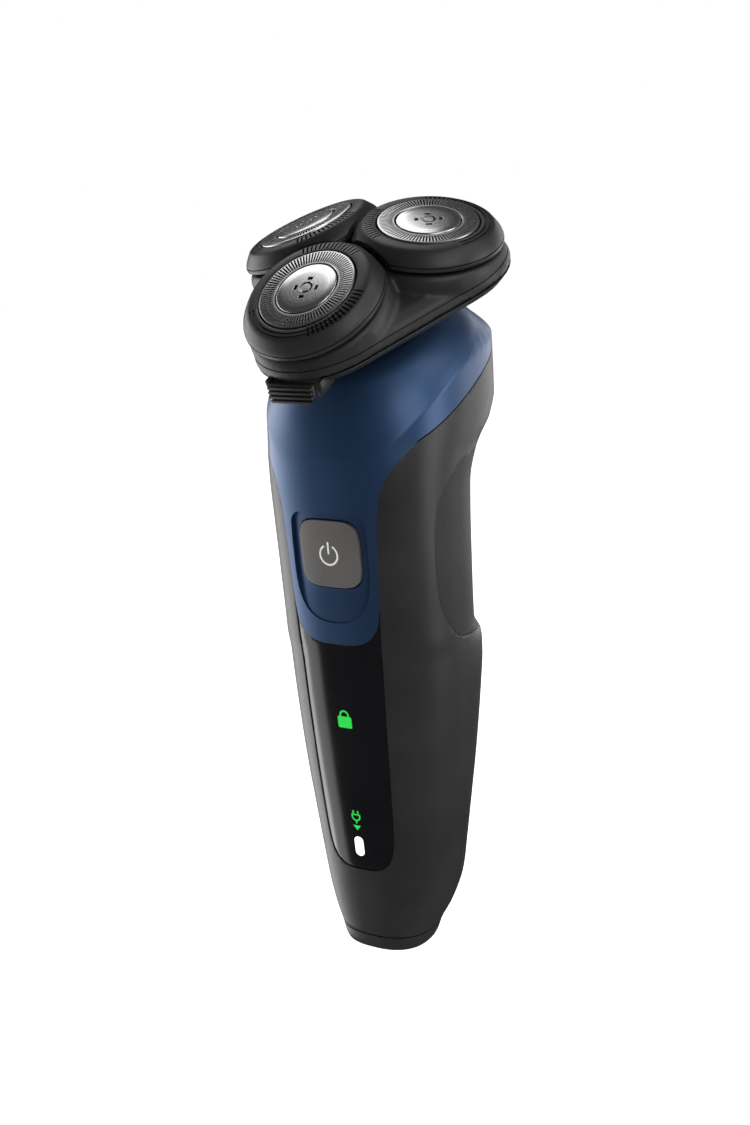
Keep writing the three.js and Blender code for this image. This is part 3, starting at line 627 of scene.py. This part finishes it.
def power_button():
    outline = squircle(BUTTON_HALF - 0.02, BUTTON_POWER, BUTTON_Z)
    face = prism("power_button_cap", outline, 1, CLEAR_OF_HANDLE)
    within(face, handle_form("button_face", BUTTON_DEPTH, **FINE))
    return round_edges(cut(face, hollow_of(2.8)), 0.3, segments=3)


# ------------------------------------------------------------------ marks on the panel and the button
def inlay(name, prisms, top=MARK_TOP, bed=MARK_BED):
    """Flat marks that follow the handle's surface, a hair proud of it."""
    mark = within(gather(name, prisms), handle_form("mark_top", top, **FINE))
    return cut(mark, handle_form("mark_bed", bed, **COARSE))


def stamp(name, outline, near=5, far=40):
    """An outline in the front view, run through the front of the handle."""
    return prism(name, outline, near, far)


def band(name, centre_z, radius, start, end):
    """A stroke of the marks' line width round an arc."""
    outer = arc(0, centre_z, radius + LINE / 2, start, end, 40)
    inner = arc(0, centre_z, radius - LINE / 2, end, start, 40)
    return stamp(name, [*outer, *inner])


def padlock():
    body = stamp("lock_body", rounded_box(1.75, 1.35, 0.35, 0, LOCK_Z - 0.65))
    shackle = band("lock_shackle", LOCK_Z + 0.95, 1.0, 0, 180)
    posts = [stamp("lock_post", rounded_box(LINE / 2, 0.32, 0.02, x, LOCK_Z + 0.85, 2)) for x in (-1, 1)]
    return inlay("padlock_mark", [join(shackle, body, *posts)])


def plug_cup(z, half, top):
    """A plug's body: a half round below a straight top."""
    return [(-half, z + top), *arc(0, z - 0.1, half, 180, 360, 20), (half, z + top)]


def plug_mark():
    z = PLUG_Z + 0.55
    shell = stamp("plug_body", plug_cup(z, 1.15, 0.5))
    cut(shell, stamp("plug_inside", plug_cup(z, 0.8, 0.2), 4, 41))
    prongs = [stamp("plug_prong", rounded_box(0.19, 0.5, 0.1, x, z + 0.85, 3)) for x in (-0.6, 0.6)]
    lead = stamp("plug_lead", rounded_box(0.18, 0.35, 0.05, 0, z - 1.45, 3))
    arrow = stamp("arrow", [(-1.0, z - 2.3), (1.0, z - 2.3), (0, z - 3.5)])
    return inlay("plug_mark", [join(shell, *prongs, lead), arrow])


def charge_bar():
    return inlay("charge_bar", [stamp("bar", rounded_box(1.15, 2.4, 1.1, 0, BAR_Z))])


def power_mark():
    """A broken ring and a stroke, sunk as deep as the button's face is set back."""
    ring = band("power_ring", BUTTON_Z - 0.2, 2.15, 118, 422)
    stroke = stamp("power_stroke", rounded_box(LINE / 2, 1.35, 0.18, 0, BUTTON_Z + 1.35, 4))
    return inlay("power_mark", [ring, stroke], BUTTON_DEPTH - 0.025, BUTTON_DEPTH + 0.25)


# ------------------------------------------------------------------ base, slide and trimmer
ARM_HALF = 10
ARM_FOOT = 81.5
GROOVE = 0.5


def finger_grooves(name, half, start, levels, height):
    """Level grooves, cut down to a bed that follows the handle's surface."""
    grooves = [block(-half, half, start, CLEAR_OF_HANDLE, z, z + height) for z in levels]
    return cut(gather(name, grooves), handle_form("groove_bed", 0.6, **COARSE))


def trimmer_arm():
    hub = cross_rod(4.5, -ARM_HALF, ARM_HALF, PIVOT_Y, PIVOT_Z, 96)
    arm = join(hub, block(-ARM_HALF, ARM_HALF, 14.4, CLEAR_OF_HANDLE, ARM_FOOT, PIVOT_Z))
    within(arm, handle_form("arm_face", 0.15))
    pin_bore = cross_rod(1.3, -20, 20, PIVOT_Y, PIVOT_Z, 48)
    scoop = cross_rod(9, -7, 7, 28.6, 85.6, 96)
    cut(arm, pin_bore, scoop, finger_grooves("arm_grooves", 6, 20.2, (98.2, 99.6, 101.0), GROOVE))
    return done(round_edges(arm, 0.25), "trimmer_lid")


def toothed(name, half_w, teeth, root, tip, inner_y, outer_y):
    """A plate with teeth along its lower edge; each tooth has a narrowed tip."""
    pitch = 2 * half_w / teeth
    line = [(half_w, ARM_FOOT - 0.3), (-half_w, ARM_FOOT - 0.3)]
    for i in range(teeth):
        x = -half_w + i * pitch
        line += [(x + 0.05 * pitch, root), (x + 0.2 * pitch, tip + 0.35), (x + 0.32 * pitch, tip)]
        line += [(x + 0.5 * pitch, tip), (x + 0.62 * pitch, tip + 0.35), (x + 0.8 * pitch, root)]
    return round_edges(prism(name, line, -outer_y, -inner_y), 0.05, segments=1)


def long_hair_comb():
    return toothed("long_hair_comb", 9.2, 22, root=78.6, tip=76.2, inner_y=17.4, outer_y=18.4)


def long_hair_blade():
    return toothed("long_hair_blade", 7.8, 18, root=78.8, tip=76.6, inner_y=16.1, outer_y=17.1)


def release_slide():
    face = prism("release_slider", rounded_box(5.7, 5.6, 1.6, 0, 59.4), -CLEAR_OF_HANDLE, -10)
    within(face, handle_form("slide_face", 0.2))
    cut(face, handle_form("slide_back", 1.0, **COARSE))
    cut(face, finger_grooves("slide_grooves", 4.2, 10, (56.2, 57.7, 59.2, 60.7, 62.2), GROOVE + 0.05))
    return round_edges(face, 0.15)


# ------------------------------------------------------------------ shaving unit
# Levels of the unit's rounded triangles: depth, centre radius, corner radius.
BOWL_LEVELS = [
    (18.1, 14.2, 7.4), (17.9, 14.6, 8.3), (17.4, 15.1, 9.3), (16.6, 15.7, 10.6), (15.6, 16.4, 12.1),
    (14.5, 16.9, 13.6), (13.4, 17.1, 14.6), (13.05, 17.1, 14.95), (12.9, 17.1, 14.8),
]
BOWL_ROOM = [(16.6, 15.2, 8.4), (15.2, 16.1, 11.4), (12, 16.6, 13.6)]
WEB_LEVELS = [
    (12.6, 17.18, 15.1), (11.6, 17.2, 15.1), (9.9, 17.1, 14.6), (8.3, 16.4, 13.0), (7.0, 15.4, 10.8),
    (6.6, 14.4, 8.6),
]
WEB_ROOM = [(14, 16.6, 13.6), (8.9, 16.4, 12.9)]
RIM_LIMIT = [(12.6, 17.18, 15.1), (-4, 17.3, 15.1)]
RIM_TRIM = [(12.6, 17.14, 15.06), (-4, 17.3, 15.1)]
RIM_LINE = [(10.78, 17.6, 16), (10.54, 17.6, 16)]
RIM_LINE_CORE = [(11.2, 17.12, 14.72), (10.0, 17.05, 14.4)]
COVER_LOBE = [
    (WELL_RADIUS, -16), (15.2, -16), (15.9, -12), (16.2, -9), (16.15, -7.4), (15.85, -6.1), (15.3, -5.35),
    (14.5, -5.15), (13.9, -5.2), (13.5, -5.45),
]
SHAFT_HOLE = 4.2


def unit_chamber():
    bowl = triangle_stack("cutter_chamber", BOWL_LEVELS)
    chin = prism("chin", tab_outline(6.8, 0.1, -1.4, 2.9, 10), 26.5, 32.0, LATCH_VIEW)
    join(bowl, round_edges(chin, 0.35))
    cut(bowl, triangle_stack("room", BOWL_ROOM))
    arms = block(-6.8, 6.8, 22.2, 24.9, HINGE_W - 1.45, LATCH_W, UNIT)
    knuckles = [cross_rod(KNUCKLE_RADIUS, *ends, **HINGE) for ends in ((3.4, 6.8), (-6.8, -3.4))]
    join(bowl, arms, *knuckles)
    latch_room = block(-5.75, 5.75, -36, -30.2, -18, -10, UNIT)
    cut(bowl, latch_room, rod(SHAFT_HOLE, -20, -10, matrix=UNIT))
    cut(bowl, cross_rod(1.9, -3.1, 3.1, **HINGE), block(-3.1, 3.1, 23.0, 30, -16, -8, UNIT))
    return round_edges(cut(bowl, cross_rod(HINGE_BORE, -9, 9, **HINGE)), 0.15)


def release_latch():
    """A rounded tab with four finger ribs, leaning in towards its lower edge."""
    lean = UNIT @ Matrix.Translation((0, -33.0, LATCH_W)) @ Matrix.Rotation(-13 * DEG, 4, "X")
    tab = block(-5.4, 5.4, 0.0, 1.5, -4.0, 0, lean, "latch_button")
    ribs = [block(-5.2, 5.2, -0.6, 0.4, w - 0.22, w + 0.22, lean) for w in (-3.5, -2.55, -1.6, -0.65)]
    join(tab, *ribs)
    within(tab, prism("latch_outline", tab_outline(5.4, 0.2, -1.9, 2.0, 8), 28, 36, LATCH_VIEW))
    return round_edges(tab, 0.12)


def well(name, radius=WELL_RADIUS):
    """The room of one head in the cover."""
    return turned("well", [(0, -20), (radius, -20), (radius, 2), (0, 2)], head_place(name))


def head_cover():
    """A web between three lobes, softened like one moulding, then cut true again."""
    web = triangle_stack("head_cover_moulding", WEB_LEVELS)
    join(web, *[turned("lobe", COVER_LOBE, head_place(name)) for name in HEADS])
    within(web, triangle_stack("limit", RIM_LIMIT))
    cut(web, *[well(name) for name in HEADS])
    apply_modifier(web, "REMESH", mode="VOXEL", voxel_size=0.42 * MM)
    apply_modifier(web, "SMOOTH", factor=0.5, iterations=9)
    within(web, triangle_stack("rim_trim", RIM_TRIM))
    cut(web, triangle_stack("room", WEB_ROOM))
    cut(web, cross_rod(1.9, -7.2, 7.2, **HINGE), block(-7.2, 7.2, 22.9, 30, -16, HINGE_W + 1.9, UNIT))
    cut(web, cut(triangle_stack("rim_line", RIM_LINE), triangle_stack("rim_line_core", RIM_LINE_CORE)))
    arm = block(-2.8, 2.8, 22.0, 25.0, HINGE_W + 0.5, HINGE_W + 2.6, UNIT)
    join(web, join(arm, cross_rod(KNUCKLE_RADIUS, -2.8, 2.8, **HINGE)))
    cut(web, *[well(name, WELL_RADIUS + 0.02) for name in HEADS])
    return cut(web, cross_rod(HINGE_BORE, -9, 9, **HINGE))


FRONT = head_place("front")

# Profiles of the front head's pieces: radius and height along the head's own axis.
RING = [
    (10.2, -5.2), (11.9, -5.2), (12.35, -2.75), (14.3, -2.8), (15.1, -4.3), (15.7, -4.28), (15.78, -4.0),
    (15.72, -3.5), (15.48, -2.94), (15.17, -2.46), (14.77, -1.96), (13.87, -0.91), (13.6, -0.72),
    (13.28, -0.56), (12.9, -0.42), (11.3, -0.24), (11.0, -0.3), (10.9, -0.5), (10.9, -3.9), (10.2, -3.9),
]
TRACK = [
    (10.0, -3.6), (10.6, -3.6), (10.6, -0.34), (10.52, -0.12), (10.3, 0.0), (7.1, 0.0), (7.0, -0.08),
    (7.0, -0.6), (10.0, -0.6),
]
DISC = [
    (0, -0.6), (6.7, -0.6), (6.7, -0.12), (6.62, 0.04), (6.4, 0.12), (4.0, 0.25), (1.55, 0.29),
    (1.5, -0.5), (1.12, -0.5), (1.07, 0.3), (0, 0.32),
]
COMB_SLOTS = 15
COMB_PITCH = 4.5
HAIR_SLOTS = 90
HEAD_GAP = 0.9
REACH = 60


def third_of_unit():
    """The front head's share of the unit, a little short of its neighbours' shares."""
    side = (REACH - HEAD_GAP) * math.tan(60 * DEG)
    outline = [(HEAD_GAP, 0), (REACH, -side), (2 * REACH, 0), (REACH, side)]
    return prism("third", outline, -40, 40, UNIT @ Matrix.Rotation(HEADS["front"] * DEG, 4, "Z"))


def hair_groove(radius):
    """A groove round the outer side of the front ring."""
    profile = [(radius, -0.62), (radius + 0.34, -0.62), (radius + 0.34, 1), (radius, 1)]
    outer_side = prism("outer_side", [(0, 0), *arc(0, 0, 30, -62, 62, 12)], -9, 9, FRONT)
    return within(turned("groove", profile, FRONT, 128), outer_side)


def head_ring():
    """The front head's outer ring with its comb slots, hair grooves and skirt line."""
    ring = turned("front_comb_ring", RING, FRONT, 128)
    within(ring, third_of_unit())
    for side in (120, 240):
        first = side - (COMB_SLOTS - 1) / 2 * COMB_PITCH
        slot = block(11.35, 13.45, -0.2, 0.2, -1.5, 1, FRONT)
        cut(ring, ring_of(slot, COMB_SLOTS, FRONT, first, COMB_SLOTS * COMB_PITCH))
    cut(ring, hair_groove(11.75), hair_groove(12.65))
    cut(ring, turned("skirt_line", [(15.0, -3.5), (16, -3.5), (16, -3.3), (15.0, -3.3)], FRONT, 128))
    return round_edges(ring, 0.07, segments=1)


def slotted_cap():
    """The steel track, cut right through by its hair slots."""
    slot = block(7.4, 10.2, -0.175, 0.175, -1.5, 1, FRONT)
    return cut(turned("front_shaving_track", TRACK, FRONT, 180), ring_of(slot, HAIR_SLOTS, FRONT))


def cap_disc():
    """The bright cover plate, with a pressed ring and four slits round its middle."""
    slit = block(2.1, 2.85, -0.62, 0.62, -0.9, 1, FRONT)
    disc = cut(turned("front_trim_disc", DISC, FRONT), ring_of(slit, 4, FRONT))
    return round_edges(disc, 0.04, segments=1)


def to_head(obj, name):
    """A copy of a front head's piece, turned round the unit to another head."""
    twin = copy_of(obj, obj.name.replace("front", name))
    return placed(twin, head_place(name) @ FRONT.inverted())


def neck_collar():
    outside = [(6, -26.3), (12.4, -26.3), (12.4, -18.7), (12.1, -18.4)]
    groove = [(10.2, -18.4), (10.0, -18.8), (9.6, -18.8), (9.4, -18.4)]
    inside = [(5.2, -18.4), (5, -18.6), (5, -20), (6, -20)]
    return turned("neck_flange", [*outside, *groove, *inside], UNIT, 128)


# ------------------------------------------------------------------ materials
def shader(name, base, rough, metallic=0.0, **settings):
    material = bpy.data.materials.new(name)
    material.use_nodes = True
    principled = material.node_tree.nodes["Principled BSDF"]
    principled.inputs["Base Color"].default_value = (*base, 1)
    principled.inputs["Roughness"].default_value = rough
    principled.inputs["Metallic"].default_value = metallic
    for key, value in settings.items():
        principled.inputs[key.replace("_", " ")].default_value = value
    return material


def add(material, kind, **settings):
    node = material.node_tree.nodes.new(kind)
    for key, value in settings.items():
        if key in node.inputs:
            node.inputs[key].default_value = value
        else:
            setattr(node, key, value)
    return node


def link(material, source, output, target, socket):
    material.node_tree.links.new(source.outputs[output], target.inputs[socket])


def place_texture(material, at=(0, 0, 0), turn=(0, 0, 0), scale=(1, 1, 1)):
    where = add(material, "ShaderNodeTexCoord")
    mapping = add(material, "ShaderNodeMapping", vector_type="TEXTURE")
    mapping.inputs["Location"].default_value = at
    mapping.inputs["Rotation"].default_value = turn
    mapping.inputs["Scale"].default_value = scale
    link(material, where, "Object", mapping, "Vector")
    return mapping


def vary(material, vector, scale, socket, low, high, detail=3.0, kind="ShaderNodeTexNoise"):
    """Drives a shader socket between two values by a fine pattern; returns the pattern."""
    principled = material.node_tree.nodes["Principled BSDF"]
    pattern = add(material, kind, Scale=scale)
    if "Detail" in pattern.inputs:
        pattern.inputs["Detail"].default_value = detail
    link(material, vector, "Vector", pattern, "Vector")
    if isinstance(low, tuple):
        ramp = add(material, "ShaderNodeValToRGB")
        ramp.color_ramp.elements[0].position = 0.3
        ramp.color_ramp.elements[1].position = 0.7
        ramp.color_ramp.elements[0].color = (*low, 1)
        ramp.color_ramp.elements[1].color = (*high, 1)
        link(material, pattern, 0, ramp, "Fac")
        link(material, ramp, "Color", principled, socket)
    else:
        span = add(material, "ShaderNodeMapRange")
        span.inputs["To Min"].default_value = low
        span.inputs["To Max"].default_value = high
        link(material, pattern, 0, span, "Value")
        link(material, span, "Result", principled, socket)
    return pattern


def roughen(material, vector, scale, strength, distance=0.00002, kind="ShaderNodeTexNoise"):
    pattern = add(material, kind, Scale=scale)
    link(material, vector, "Vector", pattern, "Vector")
    bump = add(material, "ShaderNodeBump", Strength=strength, Distance=distance)
    link(material, pattern, 0, bump, "Height")
    principled = material.node_tree.nodes["Principled BSDF"]
    link(material, bump, "Normal", principled, "Normal")


def satin_plastic(name, dark, light, rough, grain=0.18, **settings):
    """Moulded plastic with a fine spark-eroded grain and slightly uneven sheen."""
    material = shader(name, light, rough, **settings)
    vector = place_texture(material)
    vary(material, vector, 60, "Base Color", dark, light)
    vary(material, vector, 900, "Roughness", rough - 0.05, rough + 0.06)
    roughen(material, vector, 5200, grain)
    return material


def metallic_paint(name, dark, light, rough):
    """Blue lacquer over fine metal flake."""
    material = shader(name, light, rough, 0.7, Coat_Weight=0.35, Coat_Roughness=0.3)
    vector = place_texture(material)
    vary(material, vector, 9000, "Base Color", dark, light, kind="ShaderNodeTexVoronoi")
    vary(material, vector, 1800, "Roughness", rough - 0.05, rough + 0.07)
    roughen(material, vector, 6500, 0.06)
    return material


def piano_gloss(name):
    material = shader(name, (0.004, 0.004, 0.005), 0.16, Coat_Weight=0.4, Coat_Roughness=0.14)
    vector = place_texture(material)
    vary(material, vector, 240, "Roughness", 0.13, 0.19)
    vary(material, vector, 35, "Base Color", (0.003, 0.003, 0.004), (0.006, 0.006, 0.007))
    return material


def brushed_steel(name, head=None, tone=0.62, rough=0.24, streak=900):
    """Steel brushed in rings about a head's own axis, or along X."""
    material = shader(name, (tone, tone, tone * 1.01), rough, 1.0)
    if head:
        matrix = head_place(head)
        turn = matrix.to_3x3().normalized().to_euler()
        vector = place_texture(material, tuple(matrix.translation), tuple(turn))
        spread = add(material, "ShaderNodeVectorMath", operation="MULTIPLY")
        spread.inputs[1].default_value = (1, 1, 0)
        link(material, vector, "Vector", spread, 0)
        radius = add(material, "ShaderNodeVectorMath", operation="LENGTH")
        link(material, spread, "Vector", radius, 0)
        rings = add(material, "ShaderNodeCombineXYZ")
        link(material, radius, "Value", rings, "X")
        vector = rings
    else:
        vector = place_texture(material, scale=(30, 1, 1))
    dark = (tone * 0.72,) * 3
    light = (min(tone * 1.18, 0.95),) * 3
    vary(material, vector, streak * 4, "Base Color", dark, light, detail=2)
    vary(material, vector, streak * 2, "Roughness", rough - 0.07, rough + 0.1, detail=2)
    roughen(material, vector, streak * 5, 0.12, 0.00001)
    return material


def glowing(name, colour, strength):
    material = shader(name, colour, 0.35)
    principled = material.node_tree.nodes["Principled BSDF"]
    principled.inputs["Emission Color"].default_value = (*colour, 1)
    principled.inputs["Emission Strength"].default_value = strength
    vector = place_texture(material)
    deep = tuple(c * 0.82 for c in colour)
    vary(material, vector, 500, "Base Color", deep, colour)
    return material


def board_finish(name):
    """Green solder mask with an uneven tone and a fine bumpy finish."""
    material = shader(name, (0.02, 0.12, 0.05), 0.35, Coat_Weight=0.3)
    vector = place_texture(material)
    vary(material, vector, 420, "Base Color", (0.01, 0.08, 0.03), (0.035, 0.17, 0.07))
    roughen(material, vector, 1400, 0.3, kind="ShaderNodeTexVoronoi")
    return material


CHARCOAL = satin_plastic("charcoal_satin", (0.016, 0.015, 0.016), (0.023, 0.022, 0.023), 0.40)
PANEL_BLUE = metallic_paint("blue_metallic_lacquer", (0.017, 0.048, 0.120), (0.027, 0.070, 0.165), 0.42)
GLOSS = piano_gloss("piano_black")
RUBBER = satin_plastic("grip_rubber_black", (0.007, 0.007, 0.008), (0.012, 0.012, 0.013), 0.52, 0.5)
BLACK = satin_plastic("cover_black", (0.013, 0.013, 0.014), (0.020, 0.020, 0.021), 0.45, 0.22)
RING_BLACK = satin_plastic("ring_black", (0.014, 0.014, 0.015), (0.022, 0.022, 0.023), 0.42, 0.12)
LID_BLACK = satin_plastic("trimmer_lid_black", (0.014, 0.014, 0.015), (0.022, 0.022, 0.023), 0.42, 0.25)
WARM_GREY = satin_plastic("button_warm_grey", (0.090, 0.085, 0.080), (0.120, 0.114, 0.107), 0.40, 0.2)
FRAME_GREY = satin_plastic("frame_grey", (0.26, 0.27, 0.28), (0.34, 0.35, 0.36), 0.45, 0.2)
CLEAR = satin_plastic("guide_clear", (0.62, 0.68, 0.66), (0.72, 0.78, 0.76), 0.2, 0.05)
WRAP = satin_plastic("cell_sleeve", (0.03, 0.12, 0.27), (0.05, 0.18, 0.36), 0.32, 0.08)
BOARD = board_finish("board_solder_mask")
STEEL = brushed_steel("brushed_steel_flat", tone=0.55, rough=0.3)
DARK_STEEL = brushed_steel("cutter_dark_steel", tone=0.16, rough=0.38)
BRASS = brushed_steel("contact_brass_metal", tone=0.5, rough=0.3)
GREEN = glowing("indicator_green", (0.004, 0.42, 0.035), 0.9)
WHITE = glowing("indicator_white", (0.85, 0.88, 0.9), 1.1)
MARK_GREY = satin_plastic("mark_light_grey", (0.70, 0.70, 0.69), (0.80, 0.80, 0.79), 0.4, 0.05)


# ------------------------------------------------------------------ dressing the frame
def finish_piece(obj, material, body, slot, *nodes, angle=35):
    """Gives a piece its finish and its body, and hides the nodes that it stands for; the slot is not used."""
    obj.data.materials.clear()
    obj.data.materials.append(material)
    smooth(obj, angle)
    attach(obj, body)
    if nodes:
        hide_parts(*nodes)
    return obj


def dress_node(node, material):
    obj = frame["nodes"][node]
    obj.data.materials.clear()
    obj.data.materials.append(material)


OUTER = handle_form("outer_form")
HOLLOW = within(hollow_of(WALL), block(*SPAN, -1, 200))
finish_piece(base_cap(OUTER), CHARCOAL, "handle", "charcoal_shell", "base_cap")
finish_piece(main_housing(OUTER, HOLLOW), CHARCOAL, "handle", "charcoal_shell", "main_housing")
finish_piece(front_shell(OUTER, HOLLOW), PANEL_BLUE, "handle", "blue_shell", "front_shell")
finish_piece(rear_grip(OUTER, HOLLOW), RUBBER, "handle", "grip_rubber", "rear_grip")
finish_piece(display_window(), GLOSS, "handle", "display_gloss", "display_window")
for spare in (OUTER, HOLLOW):
    bpy.data.objects.remove(spare, do_unlink=True)

finish_piece(padlock(), GREEN, "handle", "clear_plastic")
finish_piece(plug_mark(), GREEN, "handle", "clear_plastic")
finish_piece(charge_bar(), WHITE, "handle", "clear_plastic")
finish_piece(power_button(), WARM_GREY, "power_button", "button_grey", "power_button")
finish_piece(power_mark(), MARK_GREY, "power_button", "button_grey")
finish_piece(trimmer_arm(), LID_BLACK, "trimmer", "trimmer_plastic", "trimmer_arm")
finish_piece(long_hair_comb(), STEEL, "trimmer", "plain_steel", "trimmer_comb")
finish_piece(long_hair_blade(), STEEL, "trimmer_blade", "plain_steel", "trimmer_blade")
finish_piece(release_slide(), BLACK, "trimmer_release", "black_plastic", "trimmer_release")
finish_piece(unit_chamber(), BLACK, "unit_base", "black_plastic", "unit_chamber")
finish_piece(release_latch(), BLACK, "release_latch", "black_plastic", "release_latch")
finish_piece(head_cover(), BLACK, "head_cover", "black_plastic", "head_cover", angle=40)
finish_piece(neck_collar(), BLACK, "handle", "black_plastic", "neck_collar")
front_pieces = (head_ring(), slotted_cap(), cap_disc())
head_pieces = {head: [to_head(piece, head) for piece in front_pieces] for head in HEADS if head != "front"}
head_pieces["front"] = front_pieces
for head, (ring, track, disc) in head_pieces.items():
    body = f"{head}_head"
    track_steel = brushed_steel(f"{head}_track_steel", head, 0.60, 0.27)
    disc_steel = brushed_steel(f"{head}_disc_steel", head, 0.68, 0.22)
    finish_piece(ring, RING_BLACK, body, "black_plastic", f"{head}_head_ring")
    finish_piece(track, track_steel, body, "brushed_steel", f"{head}_slotted_cap")
    finish_piece(disc, disc_steel, body, "brushed_steel", f"{head}_cap_disc")
    dress_node(f"{head}_cutter", DARK_STEEL)
    dress_node(f"{head}_spindle_gear", FRAME_GREY)

NODE_FINISHES = {
    "charging_socket": BLACK, "contact_pin_left": BRASS, "contact_pin_right": BRASS, "chassis": FRAME_GREY,
    "battery_cell": WRAP, "battery_tab_top": STEEL, "battery_tab_bottom": STEEL, "circuit_board": BOARD,
    "tactile_switch": FRAME_GREY, "lock_light_guide": CLEAR, "plug_light_guide": CLEAR,
    "bar_light_guide": CLEAR, "drive_motor": STEEL, "shaft_seal": RUBBER, "drive_coupling": FRAME_GREY,
    "housing_screw_left": STEEL, "housing_screw_right": STEEL, "trimmer_bracket": FRAME_GREY,
    "trimmer_pin": STEEL, "cover_hinge_pin": STEEL, "gear_plate": BLACK, "centre_gear": FRAME_GREY,
    "cutter_retainer": FRAME_GREY,
}
for node, material in NODE_FINISHES.items():
    dress_node(node, material)


# ------------------------------------------------------------------ floor, lights and camera
def floor():
    """A plain pale table, which glows evenly and is not mirrored in the glossy parts."""
    deselect()
    bpy.ops.mesh.primitive_circle_add(vertices=96, radius=1.6, fill_type="NGON")
    table = done(bpy.context.object, "pale_table")
    finish = satin_plastic("pale_floor", (0.86, 0.86, 0.86), (0.88, 0.88, 0.88), 0.8, 0.02)
    principled = finish.node_tree.nodes["Principled BSDF"]
    principled.inputs["Emission Color"].default_value = (1, 1, 1, 1)
    principled.inputs["Emission Strength"].default_value = 1.0
    table.data.materials.append(finish)
    table.visible_glossy = False
    table.visible_shadow = False


def soft_box(name, at, aim, width, height, power):
    light = bpy.data.lights.new(name, "AREA")
    light.shape = "RECTANGLE"
    light.size = width
    light.size_y = height
    light.energy = power
    obj = bpy.data.objects.new(name, light)
    obj.location = at
    obj.rotation_euler = (Vector(aim) - Vector(at)).to_track_quat("-Z", "Y").to_euler()
    bpy.context.scene.collection.objects.link(obj)


def studio():
    """Large soft lights in a dim room that looks pale only where nothing stands in front of it."""
    middle = (0, 0, 0.09)
    soft_box("left", (-0.50, 0.02, 0.02), middle, 0.40, 0.70, 2.4)
    soft_box("right", (0.50, 0.18, 0.16), middle, 0.26, 0.50, 1.15)
    soft_box("heads", (-0.28, 0.22, 0.62), (0, 0, 0.15), 0.34, 0.46, 0.9)
    soft_box("low_left", (-0.42, -0.22, -0.06), middle, 0.20, 0.55, 0.42)
    soft_box("overhead", (0.40, 0.10, 0.70), middle, 0.40, 0.40, 0.8)
    soft_box("front", (0.44, -0.26, 0.36), middle, 0.30, 0.40, 0.9)
    soft_box("rear", (0.16, 0.62, 0.14), middle, 0.50, 0.50, 1.3)
    world = bpy.data.worlds.new("studio_air")
    world.use_nodes = True
    tree = world.node_tree
    dim = tree.nodes["Background"]
    dim.inputs["Color"].default_value = (0.9, 0.95, 1.0, 1)
    dim.inputs["Strength"].default_value = 0.05
    pale = tree.nodes.new("ShaderNodeBackground")
    pale.inputs["Color"].default_value = (1, 1, 1, 1)
    seen = tree.nodes.new("ShaderNodeLightPath")
    either = tree.nodes.new("ShaderNodeMixShader")
    tree.links.new(seen.outputs["Is Camera Ray"], either.inputs[0])
    tree.links.new(dim.outputs[0], either.inputs[1])
    tree.links.new(pale.outputs[0], either.inputs[2])
    tree.links.new(either.outputs[0], tree.nodes["World Output"].inputs["Surface"])
    bpy.context.scene.world = world
    bpy.context.scene.view_settings.view_transform = "Standard"


def camera():
    azimuth, elevation, roll, distance = 32.6 * DEG, 15.0 * DEG, 3.8 * DEG, 0.3465
    target = Vector((0, -0.0039, 0.0917))
    ahead = Vector((math.sin(azimuth), -math.cos(azimuth), 0))
    away = ahead * math.cos(elevation) + Vector((0, 0, math.sin(elevation)))
    right = Vector((math.cos(azimuth), math.sin(azimuth), 0))
    up = away.cross(right)
    tilted_right = right * math.cos(roll) - up * math.sin(roll)
    tilted_up = right * math.sin(roll) + up * math.cos(roll)
    turn = Matrix((tilted_right, tilted_up, away)).transposed().to_4x4()
    data = bpy.data.cameras.new("product_camera")
    data.sensor_fit = "VERTICAL"
    data.sensor_height = 36
    data.lens = 50.55
    data.shift_x = 0.0048
    data.shift_y = -0.0103
    data.clip_start = 0.01
    obj = bpy.data.objects.new("product_camera", data)
    obj.matrix_world = Matrix.Translation(target + away * distance) @ turn
    bpy.context.scene.collection.objects.link(obj)
    bpy.context.scene.camera = obj


floor()
studio()
camera()
